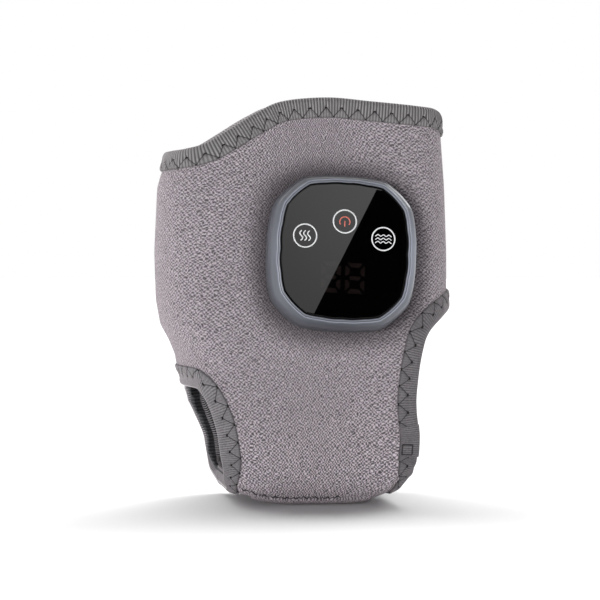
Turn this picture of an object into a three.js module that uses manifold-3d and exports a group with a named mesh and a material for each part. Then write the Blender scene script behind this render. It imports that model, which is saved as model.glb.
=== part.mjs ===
// Heated ankle massager wrap: a padded plush sleeve that stands on its sole, with a heel opening on the left,
// a foot opening on the right, a hook-and-loop flap at the back and a touch-panel control module on the front.
// Millimetres, +Z up. The origin is the middle of the flat sole, straight under the axis of the leg.
import * as THREE from "three";
import { mergeVertices } from "three/addons/utils/BufferGeometryUtils.js";
import Module from "manifold-3d";

const wasm = await Module();
wasm.setup();

// Sleeve
const sleeveHalfWidth = 67.4;
const sleeveHeight = 184.4;
const ankleHalfDepth = 43;
const ankleHeight = 72; // where the sleeve is deepest
const topHalfDepth = 26;
const soleHalfDepth = 41;
const soleRadius = 15;
const faceExponent = 6; // higher is flatter at the front and back
const sleeveColumns = 32;
const filletRows = 3;
const farOut = 150; // how far cutting bodies run past what they cut

// Layers of the sleeve wall
const layerGap = 0.3; // what two pieces that lie on each other keep between them
const outerThickness = 3.5;
const filmThickness = 0.6;
const liningThickness = 3.7;
const tapeThickness = 0.9;
const tapeWidth = 9.6;
const solePieceRise = 5.5; // how high the sole piece turns up at the front and back

// Openings of the sleeve, at the taped edge
const heelTop = 53;
const heelFoldInset = 11.9; // from the sleeve's widest reach to the heel fold
const heelSoleReach = 27;
const footTop = 88;
const footFoldOverhang = 0.6;
const edgeSteps = 13;
const topEdgeStepShare = 1.6;
const tapeEndFoot = 13; // the overlapped end of the foot opening's tape, above the sole
const tapeEndHeight = 17;

// Back closure
const underlapEdge = 41.5;
const slitFoot = 86;
const hingeAcross = 46;
const hingeFoot = 92;
const flapReach = 61; // from the hinge line to the free edge
const flapTopDrop = 4.4; // from the sleeve's top to the flap's
const flapTipDrop = 5; // how much lower the flap is at its free edge
const flapBaseFoot = 88;
const flapTipRise = 7;
const flapCorner = 12;
const flapRoot = 1.2; // from the hinge line to the flap's own pieces
const flapLift = 7; // how far the flap's face stands over the sleeve's face
const flapSkinThickness = 2.4;
const flapLiningThickness = 1.3;
const hookThickness = 1;
const hookWidth = 26;
const hookHeightShare = 0.444; // of the height between the flap's tapes
const hookSetback = 4;

// Control module, on the front
const moduleAcross = 12.8;
const moduleHeight = 112.4;
const moduleYaw = THREE.MathUtils.degToRad(0.8);
const moduleSink = 0.2; // how deep the module presses into the plush
const moduleRoll = THREE.MathUtils.degToRad(3.2);
const caseHalfWidth = 33.7;
const caseHalfHeight = 35;
const caseExponent = 2.85;
const caseWall = 1.9;
const caseFoot = 0.6; // the case's lower rim, over the plush
const caseTop = 16.3;
const caseColumns = 36;
const glassHalfWidth = 28.3;
const glassHalfHeight = 30.3;
const glassThickness = 1.6;
const glassRecess = 0.3;
const rimWidth = 1.6;
const gasketThickness = 0.5;
const ledgeWidth = 1.8;
const ledgeThickness = 1.4;

// Rear shell, clamp plate and screws
const floorLevel = 2.4;
const floorThickness = 1.6;
const collarHalfWidth = 19.5;
const collarHalfHeight = 18;
const collarRise = 4.5; // the collar's middle over the module's middle
const collarWall = 1.3;
const collarCorner = 5;
const plateThickness = 1.5;
const plateMargin = 4.5;
const bossAcross = 22.3;
const bossUp = 22.6;
const bossRadius = 2.6;
const screwRadius = 1;
const screwHeadRadius = 1.9;
const screwHeadHeight = 1.2;
const screwSides = 8;
const caseScrewLength = 7.5;
const plateScrewLength = 6;
const plateScrewAcross = 15.7;
const plateScrewUp = 14.2;
const padRadius = 2.9;
const padHeight = 5;
const postRadius = 1.6;
const postAcross = 24.4;
const postUp = 12;
const postDown = 14;
const roundSteps = 12;

// Inside the module
const boardThickness = 1.2;
const boardLevel = 9.7;
const boardHalfWidth = 26.5;
const boardTop = 27.6;
const boardFoot = 19.2;
const displayDown = 11.9;
const displayWidth = 23;
const displayHeight = 14.2;
const displayDepth = 2.6;
const digitRecess = 0.5;
const digitWidth = 8.8;
const digitHeight = 12.6;
const digitPitch = 10.9;
const touchAcross = 17.4;
const touchUp = 6.2;
const powerUp = 13.5;
const springRadius = 2.5;
const springWire = 0.6;
const springTurns = 2.5;
const springSteps = 20;
const springSides = 4;
const batteryWidth = 24.8;
const batteryHeight = 32.4;
const batteryThickness = 7.6;
const batteryCorner = 2.2;
const batteryPadWidth = 18;
const motorRadius = 3.5;
const motorLength = 15;
const motorDown = 25.6;
const motorLeft = 11.5;
const shaftRadius = 0.75;
const shaftReach = 6.5;
const shaftDepth = 4;
const weightRadius = 3.3;
const weightLength = 4.4;
const weightGap = 0.8;
const hubRadius = 2;
const cradleWall = 0.8;
const cradleLength = 9;
const socketWidth = 8.9;
const socketHeight = 3.2;
const socketDepth = 7.4;
const socketWall = 0.35;
const socketTongue = 0.7;
const socketSetback = 1; // from the case's outer face
const buzzerRadius = 4.5;
const buzzerHeight = 2.6;
const buzzerHole = 1;
const buzzerAcross = 18;
const plugWidth = 7.5;
const plugDepth = 4.2;
const plugHeight = 2.6;
const wireRadius = 0.6;
const wireSpacing = 1.6;
const wireDrop = 18.4;
const slotHalfWidth = 3.8;
const slotHalfHeight = 1.5;

// Heating film and its sensors
const filmLeft = 44;
const filmRight = 54;
const filmFoot = 26;
const filmTop = 160;
const filmCorner = 12;
const filmWindowGap = 2;
const sensorWidth = 6;
const sensorHeight = 4;
const sensorThickness = 1.6;
const sensorLevel = 50; // above the sole
const sensorSpacing = 11;

// Outline of the sleeve by height: [share of the height, share of the half width]
const heelSideShares = [
  [0.09, 0.81],
  [0.36, 0.855],
  [0.4, 0.9],
  [0.44, 0.96],
  [0.5, 0.99],
  [0.62, 1],
  [0.78, 0.98],
  [0.88, 0.9],
  [1.13, 0.8],
];
const shinSideShares = [
  [0.09, 0.97],
  [0.36, 0.99],
  [0.4, 0.995],
  [0.44, 1],
  [0.5, 1.003],
  [0.62, 1.005],
  [0.78, 0.993],
  [0.88, 0.975],
  [1.13, 0.92],
];
// Taped edges: [share of the reach, share of the height]
const heelEdgeShares = [
  [1, 1],
  [0.825, 0.985],
  [0.685, 0.875],
  [0.555, 0.66],
  [0.46, 0.377],
  [0.4, 0.226],
  [0.294, 0.113],
  [0.14, 0.0415],
  [0, 0],
];
const footEdgeShares = [
  [1, 1],
  [0.9, 0.955],
  [0.79, 0.876],
  [0.74, 0.765],
  [0.71, 0.6],
  [0.706, 0.5],
  [0.722, 0.36],
  [0.705, 0.21],
  [0.672, 0.15],
  [0.62, 0.088],
  [0.545, 0.04],
  [0.44, 0],
];
const topEdgeShares = [
  [-1.04, 0.8],
  [-1.0, 0.845],
  [-0.945, 0.866],
  [-0.81, 0.874],
  [-0.68, 0.888],
  [-0.51, 0.925],
  [-0.34, 0.9625],
  [-0.165, 0.99],
  [0.14, 1],
  [0.44, 0.991],
  [0.76, 0.981],
  [0.89, 0.976],
  [0.955, 0.96],
  [1.02, 0.91],
];
const slitShares = [
  [0, 1],
  [0.06, 0.62],
  [0.4, 0.28],
  [1, 0],
];
// Touch panel: straight sides with cut corners, as shares of its half width and half height
const glassShares = [
  [1, 0],
  [0.975, 0.46],
  [0.915, 0.66],
  [0.63, 0.93],
  [0.44, 0.985],
  [0, 1],
];
// Case side: [share of the way up, share of the way from the panel's rim out to the case's outline]
const caseSideShares = [
  [0, 0.84],
  [0.15, 0.96],
  [0.38, 1],
  [0.62, 0.95],
  [0.8, 0.76],
  [0.92, 0.46],
  [1, 0],
];
const caseHollowShares = [
  [0, 0.97],
  [0.55, 0.97],
  [1, 0.72],
];

// Reaches that follow the sleeve
const heelFoldReach = sleeveHalfWidth - heelFoldInset;
const footFoldReach = sleeveHalfWidth + footFoldOverhang;
const flapBaseTop = sleeveHeight - flapTopDrop;
const flapTipTop = flapBaseTop - flapTipDrop;
const flapTipFoot = flapBaseFoot + flapTipRise;

// Levels of the sleeve's layers, measured out from its face
const tapeGrip = tapeThickness + layerGap;
const soleLevel = tapeGrip;
const plushBack = -outerThickness;
const filmFace = plushBack - layerGap;
const filmBack = filmFace - filmThickness;
const liningFace = filmBack - layerGap;
const liningBack = liningFace - liningThickness;
const flapSkinBack = flapLift - flapSkinThickness;
const flapLiningFace = flapSkinBack - layerGap;
const flapLiningBack = flapLiningFace - flapLiningThickness;
const hookFace = flapLiningBack - layerGap;

// Levels in the module, measured out from the sleeve's face
const glassTop = caseTop - glassRecess;
const glassFoot = glassTop - glassThickness;
const gasketTop = glassFoot - layerGap;
const ledgeTop = gasketTop - gasketThickness - layerGap;
const ledgeFoot = ledgeTop - ledgeThickness;
const floorTop = floorLevel + floorThickness;
const plateTop = plushBack - layerGap;
const boardUpper = boardLevel + boardThickness;
const motorLevel = floorTop + 2 * layerGap + cradleWall + motorRadius;

// ---------- solids ----------
function solidOf(geometry) {
  const bare = new THREE.BufferGeometry();
  bare.setAttribute("position", geometry.getAttribute("position"));
  if (geometry.index) bare.setIndex(geometry.index);
  const merged = mergeVertices(bare, 1e-4);
  return new wasm.Manifold(
    new wasm.Mesh({
      numProp: 3,
      vertProperties: new Float32Array(merged.getAttribute("position").array),
      triVerts: new Uint32Array(merged.index.array),
    }),
  );
}

function geometryOf(body) {
  const mesh = body.getMesh();
  const geometry = new THREE.BufferGeometry();
  geometry.setAttribute("position", new THREE.BufferAttribute(new Float32Array(mesh.vertProperties), 3));
  geometry.setIndex(new THREE.BufferAttribute(new Uint32Array(mesh.triVerts), 1));
  const flat = geometry.toNonIndexed();
  flat.computeVertexNormals();
  return flat;
}

function meshOf(name, body, material) {
  const geometry = body.isBufferGeometry ? body : geometryOf(body);
  const mesh = new THREE.Mesh(geometry, material);
  mesh.name = name;
  return mesh;
}

function finish(color, roughness, metalness = 0) {
  return new THREE.MeshStandardMaterial({ color, roughness, metalness });
}

// A prism of a flat outline, which stands on z = from and ends at z = to.
function prism(outline, from, to) {
  const shape = new THREE.Shape(outline);
  const geometry = new THREE.ExtrudeGeometry(shape, { depth: to - from, bevelEnabled: false, steps: 1 });
  geometry.translate(0, 0, from);
  return geometry;
}

// A prism of an outline drawn in X and Z, which runs from y = from to y = to.
function crossPrism(outline, from = -farOut, to = farOut) {
  const geometry = prism(outline, -to, -from);
  geometry.rotateX(Math.PI / 2);
  return solidOf(geometry);
}

function box(width, height, depth, x, y, z) {
  return new THREE.BoxGeometry(width, height, depth).translate(x, y, z);
}

// A cylinder along Z.
function rod(radius, from, to, x = 0, y = 0, steps = roundSteps) {
  const geometry = new THREE.CylinderGeometry(radius, radius, to - from, steps);
  geometry.rotateX(Math.PI / 2);
  geometry.translate(x, y, (from + to) / 2);
  return geometry;
}

// A cylinder along X.
function axle(radius, from, to, y, z, steps = roundSteps) {
  const geometry = new THREE.CylinderGeometry(radius, radius, to - from, steps);
  geometry.rotateZ(-Math.PI / 2);
  geometry.translate((from + to) / 2, y, z);
  return geometry;
}

function roundedRectangle(left, right, foot, top, corner, steps = 4) {
  const centres = [
    [right - corner, top - corner, 0],
    [left + corner, top - corner, 1],
    [left + corner, foot + corner, 2],
    [right - corner, foot + corner, 3],
  ];
  const points = [];
  for (const [x, y, quarter] of centres) {
    for (let k = 0; k <= steps; k += 1) {
      const angle = (quarter + k / steps) * (Math.PI / 2);
      points.push(new THREE.Vector2(x + corner * Math.cos(angle), y + corner * Math.sin(angle)));
    }
  }
  return points;
}

// Joins rings of points into one closed body, with a flat cap on the first and the last ring.
function stack(rings) {
  const count = rings[0].length;
  const points = rings.flat();
  const indices = [];
  for (let row = 0; row + 1 < rings.length; row += 1) {
    for (let k = 0; k < count; k += 1) {
      const a = row * count + k;
      const b = row * count + ((k + 1) % count);
      indices.push(a, b, b + count, a, b + count, a + count);
    }
  }
  for (const row of [0, rings.length - 1]) {
    const centre = new THREE.Vector3();
    for (const point of rings[row]) centre.addScaledVector(point, 1 / count);
    const middle = points.push(centre) - 1;
    for (let k = 0; k < count; k += 1) {
      const a = row * count + k;
      const b = row * count + ((k + 1) % count);
      if (row === 0) indices.push(middle, b, a);
      else indices.push(middle, a, b);
    }
  }
  const geometry = new THREE.BufferGeometry().setFromPoints(points);
  geometry.setIndex(indices);
  return geometry;
}

// ---------- the sleeve's surface ----------
function along(shares, height) {
  const last = shares.length - 1;
  if (height <= shares[0][0]) return shares[0][1];
  for (let k = 0; k < last; k += 1) {
    const [low, from] = shares[k];
    const [high, to] = shares[k + 1];
    if (height <= high) return from + ((to - from) * (height - low)) / (high - low);
  }
  return shares[last][1];
}

function halfDepthAt(height) {
  if (height < ankleHeight) {
    return soleHalfDepth + ((ankleHalfDepth - soleHalfDepth) * height) / ankleHeight;
  }
  return ankleHalfDepth - ((ankleHalfDepth - topHalfDepth) * (height - ankleHeight)) / (sleeveHeight - ankleHeight);
}

function widthsAt(height) {
  const left = sleeveHalfWidth * along(heelSideShares, height / sleeveHeight);
  const right = sleeveHalfWidth * along(shinSideShares, height / sleeveHeight);
  return { middle: (right - left) / 2, half: (right + left) / 2 };
}

function sleeveRing(height, offset, inset) {
  const { middle, half } = widthsAt(height);
  const depth = halfDepthAt(height);
  const ring = [];
  for (let k = 0; k < sleeveColumns; k += 1) {
    const angle = (2 * Math.PI * k) / sleeveColumns;
    const across = Math.sign(Math.cos(angle)) * Math.abs(Math.cos(angle)) ** (2 / faceExponent);
    ring.push([middle, (half + offset - inset) * across, (depth + offset - inset) * Math.sin(angle)]);
  }
  return ring;
}

// The filled sleeve, with its face moved out by an offset.
function sleeveBody(offset) {
  const rings = [];
  const put = (ring, z) => rings.push(ring.map(([middle, x, y]) => new THREE.Vector3(middle + x, y, z)));
  const radius = soleRadius + offset;
  for (let k = 0; k <= filletRows; k += 1) {
    const turn = (k / filletRows) * (Math.PI / 2);
    const z = soleLevel + soleRadius - radius * Math.cos(turn);
    const inset = radius - radius * Math.sin(turn);
    put(sleeveRing(soleLevel + soleRadius, offset, inset), z);
  }
  for (const [share] of shinSideShares.slice(1)) {
    const height = share * sleeveHeight;
    put(sleeveRing(height, offset, 0), height);
  }
  return solidOf(stack(rings));
}

const bodies = new Map();
function bodyAt(offset) {
  const key = offset.toFixed(3);
  if (!bodies.has(key)) bodies.set(key, sleeveBody(offset));
  return bodies.get(key);
}

function shell(face, back) {
  return bodyAt(face).subtract(bodyAt(back));
}

// How far the facets of the front stand out at a share of the half width, as a share of the half depth.
function faceShare(across) {
  const step = (2 * Math.PI) / sleeveColumns;
  for (let k = 1; k <= sleeveColumns / 4; k += 1) {
    const [from, to] = [k - 1, k].map((turns) => Math.PI / 2 - turns * step);
    const near = Math.cos(from) ** (2 / faceExponent);
    const far = Math.cos(to) ** (2 / faceExponent);
    if (Math.abs(across) > far) continue;
    const share = (Math.abs(across) - near) / (far - near);
    return Math.sin(from) + (Math.sin(to) - Math.sin(from)) * share;
  }
  return 0;
}

// The half depth at a height on the facets, which run straight from ring to ring.
function facetDepthAt(height) {
  let low = soleLevel + soleRadius;
  for (const [share] of shinSideShares.slice(1)) {
    const high = share * sleeveHeight;
    if (height <= high) {
      const [from, to] = [halfDepthAt(low), halfDepthAt(high)];
      return from + ((to - from) * (height - low)) / (high - low);
    }
    low = high;
  }
  return halfDepthAt(height);
}

// Place on the sleeve's front, with Z out of the sleeve, Y up along it and X to the right.
function frontPlace(across, height, yaw = 0, roll = 0) {
  const { middle, half } = widthsAt(height);
  const share = faceShare((across - middle) / half);
  const slope = (ankleHalfDepth - topHalfDepth) / (sleeveHeight - ankleHeight);
  const pitch = height > ankleHeight ? Math.atan(slope) : 0;
  const place = new THREE.Matrix4().makeTranslation(across, -facetDepthAt(height) * share, height);
  place.multiply(new THREE.Matrix4().makeRotationZ(yaw));
  place.multiply(new THREE.Matrix4().makeRotationX(Math.PI / 2 - pitch));
  place.multiply(new THREE.Matrix4().makeRotationZ(-roll));
  return place;
}

// ---------- taped edges ----------
function edgeCurve(points, steps) {
  return new THREE.SplineCurve(points).getSpacedPoints(steps);
}

const heelEdge = edgeCurve(
  heelEdgeShares.map(
    ([across, up]) => new THREE.Vector2(-heelSoleReach - (heelFoldReach - heelSoleReach) * across, heelTop * up),
  ),
  edgeSteps,
);
const footEdge = edgeCurve(
  footEdgeShares.map(([across, up]) => new THREE.Vector2(footFoldReach * across, footTop * up)),
  edgeSteps + 2,
);
const topEdge = edgeCurve(
  topEdgeShares.map(([across, up]) => new THREE.Vector2(sleeveHalfWidth * across, sleeveHeight * up)),
  Math.round(edgeSteps * topEdgeStepShare),
);
heelEdge.unshift(new THREE.Vector2(-farOut, heelTop));
heelEdge.push(new THREE.Vector2(-heelSoleReach, -farOut));
footEdge.unshift(new THREE.Vector2(farOut, footEdge[0].y));
footEdge.push(new THREE.Vector2(footEdge.at(-1).x, -farOut));
topEdge.unshift(new THREE.Vector2(-farOut, topEdge[0].y));
topEdge.push(new THREE.Vector2(farOut, topEdge.at(-1).y));

// Moves a line sideways, to its left where the side is 1 and to its right where it is -1.
function moved(line, distance, side) {
  return line.map((point, k) => {
    const before = line[Math.max(k - 1, 0)];
    const after = line[Math.min(k + 1, line.length - 1)];
    const one = point.clone().sub(before).normalize();
    const two = after.clone().sub(point).normalize();
    if (k === 0) one.copy(two);
    if (k === line.length - 1) two.copy(one);
    const normal = new THREE.Vector2(-(one.y + two.y), one.x + two.x).normalize();
    const stretch = 1 / Math.max(0.5, normal.dot(new THREE.Vector2(-one.y, one.x)));
    return point.clone().addScaledVector(normal, side * distance * stretch);
  });
}

const edges = {
  heel: { line: heelEdge, side: 1, corners: [[-farOut, -farOut]] },
  foot: { line: footEdge, side: -1, corners: [[farOut, -farOut]] },
  top: {
    line: topEdge,
    side: -1,
    corners: [
      [farOut, 2 * farOut],
      [-farOut, 2 * farOut],
    ],
  },
};

// What an edge leaves open, grown into the sleeve by a distance.
function outside({ line, side, corners }, distance) {
  const outline = moved(line, distance, side);
  for (const [x, y] of corners) outline.push(new THREE.Vector2(x, y));
  return crossPrism(outline);
}

function withoutEdges(body, distance) {
  let cut = body;
  for (const edge of Object.values(edges)) cut = cut.subtract(outside(edge, distance));
  return cut;
}

const coreShell = shell(layerGap, liningBack - layerGap);
const tapeShell = shell(tapeGrip, liningBack - tapeGrip);

function tapeOn(edge) {
  const band = outside(edge, tapeWidth).subtract(outside(edge, 0));
  const core = coreShell.subtract(outside(edge, tapeThickness));
  return tapeShell.intersect(band).subtract(core);
}

const rear = solidOf(box(2 * farOut, 2 * farOut, 4 * farOut, 0, farOut, 0));
const front = solidOf(box(2 * farOut, 2 * farOut, 4 * farOut, 0, -farOut, 0));

// ---------- back closure ----------
function slitOutline(grow) {
  const line = slitShares.map(
    ([across, up]) =>
      new THREE.Vector2(
        hingeAcross + grow - (hingeAcross - underlapEdge + 2 * grow) * across,
        slitFoot + (hingeFoot - slitFoot) * up - grow,
      ),
  );
  return [new THREE.Vector2(hingeAcross + grow, farOut * 2), ...line, new THREE.Vector2(underlapEdge - grow, farOut * 2)];
}

function flapOutline(inset, baseInset) {
  const tip = hingeAcross - flapReach + inset;
  const base = hingeAcross - baseInset;
  const radius = flapCorner - inset;
  const line = [new THREE.Vector2(base, flapBaseTop - inset)];
  const corners = [
    [flapTipTop - inset - radius, 1],
    [flapTipFoot + inset + radius, 2],
  ];
  for (const [y, quarter] of corners) {
    for (let k = 0; k <= 4; k += 1) {
      const angle = (quarter + k / 4) * (Math.PI / 2);
      line.push(new THREE.Vector2(tip + radius + radius * Math.cos(angle), y + radius * Math.sin(angle)));
    }
  }
  line.push(new THREE.Vector2(base, flapBaseFoot + inset));
  return line;
}

const slit = crossPrism(slitOutline(0), 0, farOut);

function flapLayer(face, back, inset, baseInset) {
  return shell(face, back).intersect(crossPrism(flapOutline(inset, baseInset), 0, farOut));
}

// ---------- module outlines ----------
function quarterPoint(angle) {
  // the touch panel's outline at an angle, as shares of its half width and half height
  const x = Math.abs(Math.cos(angle));
  const y = Math.abs(Math.sin(angle));
  for (let k = 0; k + 1 < glassShares.length; k += 1) {
    const [ax, ay] = glassShares[k];
    const [bx, by] = glassShares[k + 1];
    // where the ray (x, y) crosses the side from a to b
    const cross = x * (by - ay) - y * (bx - ax);
    const reach = (ax * by - ay * bx) / cross;
    const share = (y * reach - ay) / (by - ay);
    if (share >= -1e-9 && share <= 1 + 1e-9) return reach;
  }
  return 1;
}

function glassPoint(angle, grow) {
  const reach = quarterPoint(angle);
  return new THREE.Vector2(
    (glassHalfWidth + grow) * reach * Math.cos(angle),
    (glassHalfHeight + grow) * reach * Math.sin(angle),
  );
}

function casePoint(angle, grow) {
  const x = Math.cos(angle);
  const y = Math.sin(angle);
  const reach = (Math.abs(x) ** caseExponent + Math.abs(y) ** caseExponent) ** (-1 / caseExponent);
  return new THREE.Vector2((caseHalfWidth + grow) * reach * x, (caseHalfHeight + grow) * reach * y);
}

function around(pointAt) {
  return Array.from({ length: caseColumns }, (_, k) => pointAt((2 * Math.PI * (k + 0.5)) / caseColumns));
}

function glassOutline(grow) {
  return around((angle) => glassPoint(angle, grow));
}

function caseRing(share, grow, z) {
  return around((angle) => {
    const inner = glassPoint(angle, rimWidth + grow);
    const outer = casePoint(angle, grow);
    const point = inner.lerp(outer, share);
    return new THREE.Vector3(point.x, point.y, z);
  });
}

function ringsBetween(shares, from, to, grow) {
  return shares.map(([up, share]) => caseRing(share, grow, from + (to - from) * up));
}

// ---------- finishes ----------
const plush = finish(0x9b9298, 0.95);
const lining = finish(0x4a484b, 0.9);
const tape = finish(0x7a777a, 0.85);
const film = finish(0x2b2b2e, 0.6);
const hook = finish(0x3a3a3d, 0.8);
const satin = finish(0x83858f, 0.38);
const dark = finish(0x242428, 0.45);
const glass = finish(0x08080a, 0.08);
const board = finish(0x1f5a38, 0.5);
const steel = finish(0xb9bbc0, 0.3, 1);
const rubber = finish(0x1d1d1f, 0.85);
const pouch = finish(0x9fa4ad, 0.35, 0.6);
const wireRed = finish(0xa02a24, 0.5);
const tungsten = finish(0x8c8a86, 0.4, 1);

const wrap = new THREE.Group();

// ---------- control module, drawn in its own place ----------
const place = frontPlace(moduleAcross, moduleHeight, moduleYaw, moduleRoll);
place.multiply(new THREE.Matrix4().makeTranslation(0, 0, -moduleSink));
const placed = (geometry) => solidOf(geometry.clone().applyMatrix4(place));
const moduleGroup = new THREE.Group();
moduleGroup.applyMatrix4(place);
wrap.add(moduleGroup);
const fit = (name, body, material) => moduleGroup.add(meshOf(name, body, material));

const bossPlaces = [
  [-bossAcross, -bossUp],
  [bossAcross, -bossUp],
  [-bossAcross, bossUp],
  [bossAcross, bossUp],
];
const padPlaces = [
  [-plateScrewAcross, collarRise - plateScrewUp],
  [plateScrewAcross, collarRise - plateScrewUp],
  [-plateScrewAcross, collarRise + plateScrewUp],
  [plateScrewAcross, collarRise + plateScrewUp],
];
const postPlaces = [
  [-postAcross, -postDown],
  [postAcross, -postDown],
  [-postAcross, postUp],
  [postAcross, postUp],
];
const wirePlaces = [-wireSpacing, wireSpacing];
const clear = screwRadius + layerGap;
const collarFoot = plateTop + layerGap;

function collarOutline(grow) {
  return roundedRectangle(
    -collarHalfWidth - grow,
    collarHalfWidth + grow,
    collarRise - collarHalfHeight - grow,
    collarRise + collarHalfHeight + grow,
    collarCorner + grow,
  );
}

function slotPrism(grow, from, to) {
  const wide = 2 * (slotHalfWidth + grow);
  const tall = 2 * (slotHalfHeight + grow);
  return box(wide, tall, to - from, 0, -wireDrop, (from + to) / 2);
}

// Front case: a crowned ring of plastic round the touch panel, with four screw bosses
const caseOuter = solidOf(stack(ringsBetween(caseSideShares, caseFoot, caseTop, 0)));
const caseHollow = solidOf(stack(ringsBetween(caseHollowShares, caseFoot - layerGap, ledgeFoot, -caseWall)));
const pocket = solidOf(prism(glassOutline(layerGap), ledgeTop, caseTop + layerGap));
const windowCut = solidOf(prism(glassOutline(-ledgeWidth), ledgeFoot - layerGap, caseTop));
let caseBody = caseOuter.subtract(caseHollow);
for (const [x, y] of bossPlaces) {
  const boss = solidOf(rod(bossRadius, floorTop + layerGap, ledgeFoot + layerGap, x, y)).intersect(caseOuter);
  caseBody = caseBody.add(boss);
}
caseBody = caseBody.subtract(pocket).subtract(windowCut);
const screwTip = floorLevel - layerGap + caseScrewLength;
for (const [x, y] of bossPlaces) {
  caseBody = caseBody.subtract(solidOf(rod(clear, floorTop, screwTip + layerGap, x, y)));
}
const socketLevel = boardLevel - layerGap - socketHeight / 2;
const socketFace = caseHalfHeight - socketSetback;
const socketHole = solidOf(
  box(socketWidth + 2 * layerGap, socketDepth, socketHeight + 2 * layerGap, 0, caseHalfHeight, socketLevel),
);
fit("front_case", caseBody.subtract(socketHole), satin);

const glassBody = prism(glassOutline(0), glassFoot, glassTop);
fit("touch_panel", glassBody, glass);
const gasketBody = solidOf(prism(glassOutline(-layerGap), ledgeTop + layerGap, gasketTop)).subtract(
  solidOf(prism(glassOutline(-ledgeWidth), ledgeTop, glassTop)),
);
fit("panel_gasket", gasketBody, rubber);

// Rear shell: a floor that closes the case, with a square collar through the plush
const floorOutline = caseRing(caseHollowShares[0][1], -caseWall - layerGap, 0).map(
  (point) => new THREE.Vector2(point.x, point.y),
);
let shellBody = solidOf(prism(floorOutline, floorLevel, floorTop));
shellBody = shellBody.add(solidOf(prism(collarOutline(0), collarFoot, floorTop - layerGap)));
shellBody = shellBody.subtract(solidOf(prism(collarOutline(-collarWall), collarFoot - layerGap, caseTop)));
for (const [x, y] of padPlaces) {
  const pad = solidOf(rod(padRadius, collarFoot, collarFoot + padHeight, x, y));
  const hole = solidOf(rod(clear, collarFoot - layerGap, collarFoot + padHeight + layerGap, x, y));
  shellBody = shellBody.add(pad.intersect(solidOf(prism(collarOutline(0), collarFoot, caseTop)))).subtract(hole);
}
for (const [x, y] of postPlaces) {
  shellBody = shellBody.add(solidOf(rod(postRadius, floorLevel + layerGap, boardLevel - layerGap, x, y, 8)));
}
for (const [x, y] of bossPlaces) {
  shellBody = shellBody.subtract(solidOf(rod(clear, collarFoot, caseTop, x, y)));
}
shellBody = shellBody.subtract(solidOf(slotPrism(0, collarFoot - layerGap, caseTop)));
fit("rear_shell", shellBody, dark);

// Clamp plate behind the plush
const plateFoot = plateTop - plateThickness;
let plateBody = solidOf(prism(collarOutline(plateMargin), plateFoot, plateTop));
// A notch in the lower edge of the clamp plate, which the film's tab and the two leads use
const notchTop = slotHalfHeight - wireDrop;
const notchFoot = notchTop - 2 * plateMargin - 2 * slotHalfHeight;
function notchBox(grow, from, to) {
  const wide = 2 * (slotHalfWidth + grow);
  const tall = notchTop - notchFoot;
  return box(wide, tall, to - from, 0, (notchTop + notchFoot) / 2 + grow, (from + to) / 2);
}
plateBody = plateBody.subtract(solidOf(notchBox(0, plateFoot - layerGap, plateTop + layerGap)));
for (const [x, y] of padPlaces) {
  plateBody = plateBody.subtract(solidOf(rod(clear, plateFoot - layerGap, plateTop + layerGap, x, y)));
}
fit("clamp_plate", plateBody, dark);

function screwBody(x, y, head, length) {
  const parts = [
    new THREE.Vector2(0, 0),
    new THREE.Vector2(screwHeadRadius, 0),
    new THREE.Vector2(screwHeadRadius, screwHeadHeight),
    new THREE.Vector2(screwRadius, screwHeadHeight),
    new THREE.Vector2(screwRadius, screwHeadHeight + length - screwRadius),
    new THREE.Vector2(0, screwHeadHeight + length),
  ];
  const geometry = new THREE.LatheGeometry(parts, screwSides);
  geometry.rotateX(Math.PI / 2);
  geometry.translate(x, y, head);
  return solidOf(geometry);
}
const caseScrewHead = floorLevel - layerGap - screwHeadHeight;
const plateScrewHead = plateFoot - layerGap - screwHeadHeight;
bossPlaces.forEach(([x, y], k) => {
  fit(`case_screw_${k + 1}`, screwBody(x, y, caseScrewHead, caseScrewLength - layerGap), steel);
});
padPlaces.forEach(([x, y], k) => {
  fit(`plate_screw_${k + 1}`, screwBody(x, y, plateScrewHead, plateScrewLength), steel);
});

// Circuit board and what it carries
let boardBody = solidOf(prism(glassOutline(0), boardLevel, boardUpper)).intersect(
  solidOf(
    box(2 * boardHalfWidth, boardTop + boardFoot, 2 * boardUpper, 0, (boardTop - boardFoot) / 2, boardUpper),
  ),
);
for (const [x, y] of bossPlaces) {
  boardBody = boardBody.subtract(solidOf(rod(bossRadius + layerGap, boardLevel - layerGap, caseTop, x, y)));
}
fit("control_board", boardBody, board);

const displayFoot = boardUpper + layerGap;
const displayTop = displayFoot + displayDepth;
let displayBody = solidOf(
  box(displayWidth, displayHeight, displayDepth, 0, -displayDown, (displayFoot + displayTop) / 2),
);
for (const side of [-1, 1]) {
  const recess = box(digitWidth, digitHeight, digitRecess, (side * digitPitch) / 2, -displayDown, displayTop);
  displayBody = displayBody.subtract(solidOf(recess));
}
fit("digit_display", displayBody, dark);

class SpringCurve extends THREE.Curve {
  constructor(radius, foot, rise, turns) {
    super();
    Object.assign(this, { radius, foot, rise, turns });
  }
  getPoint(t, target = new THREE.Vector3()) {
    const angle = 2 * Math.PI * this.turns * t;
    return target.set(this.radius * Math.cos(angle), this.radius * Math.sin(angle), this.foot + this.rise * t);
  }
}
function springBody(x, y) {
  const foot = displayFoot + springWire / 2;
  const rise = glassFoot - layerGap - springWire / 2 - foot;
  const section = new THREE.Shape(
    Array.from({ length: springSides }, (_, k) => {
      const angle = (2 * Math.PI * k) / springSides;
      return new THREE.Vector2((springWire / 2) * Math.cos(angle), (springWire / 2) * Math.sin(angle));
    }),
  );
  const extrudePath = new SpringCurve(springRadius, foot, rise, springTurns);
  const geometry = new THREE.ExtrudeGeometry(section, { steps: springSteps, bevelEnabled: false, extrudePath });
  return solidOf(geometry.translate(x, y, 0));
}
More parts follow.
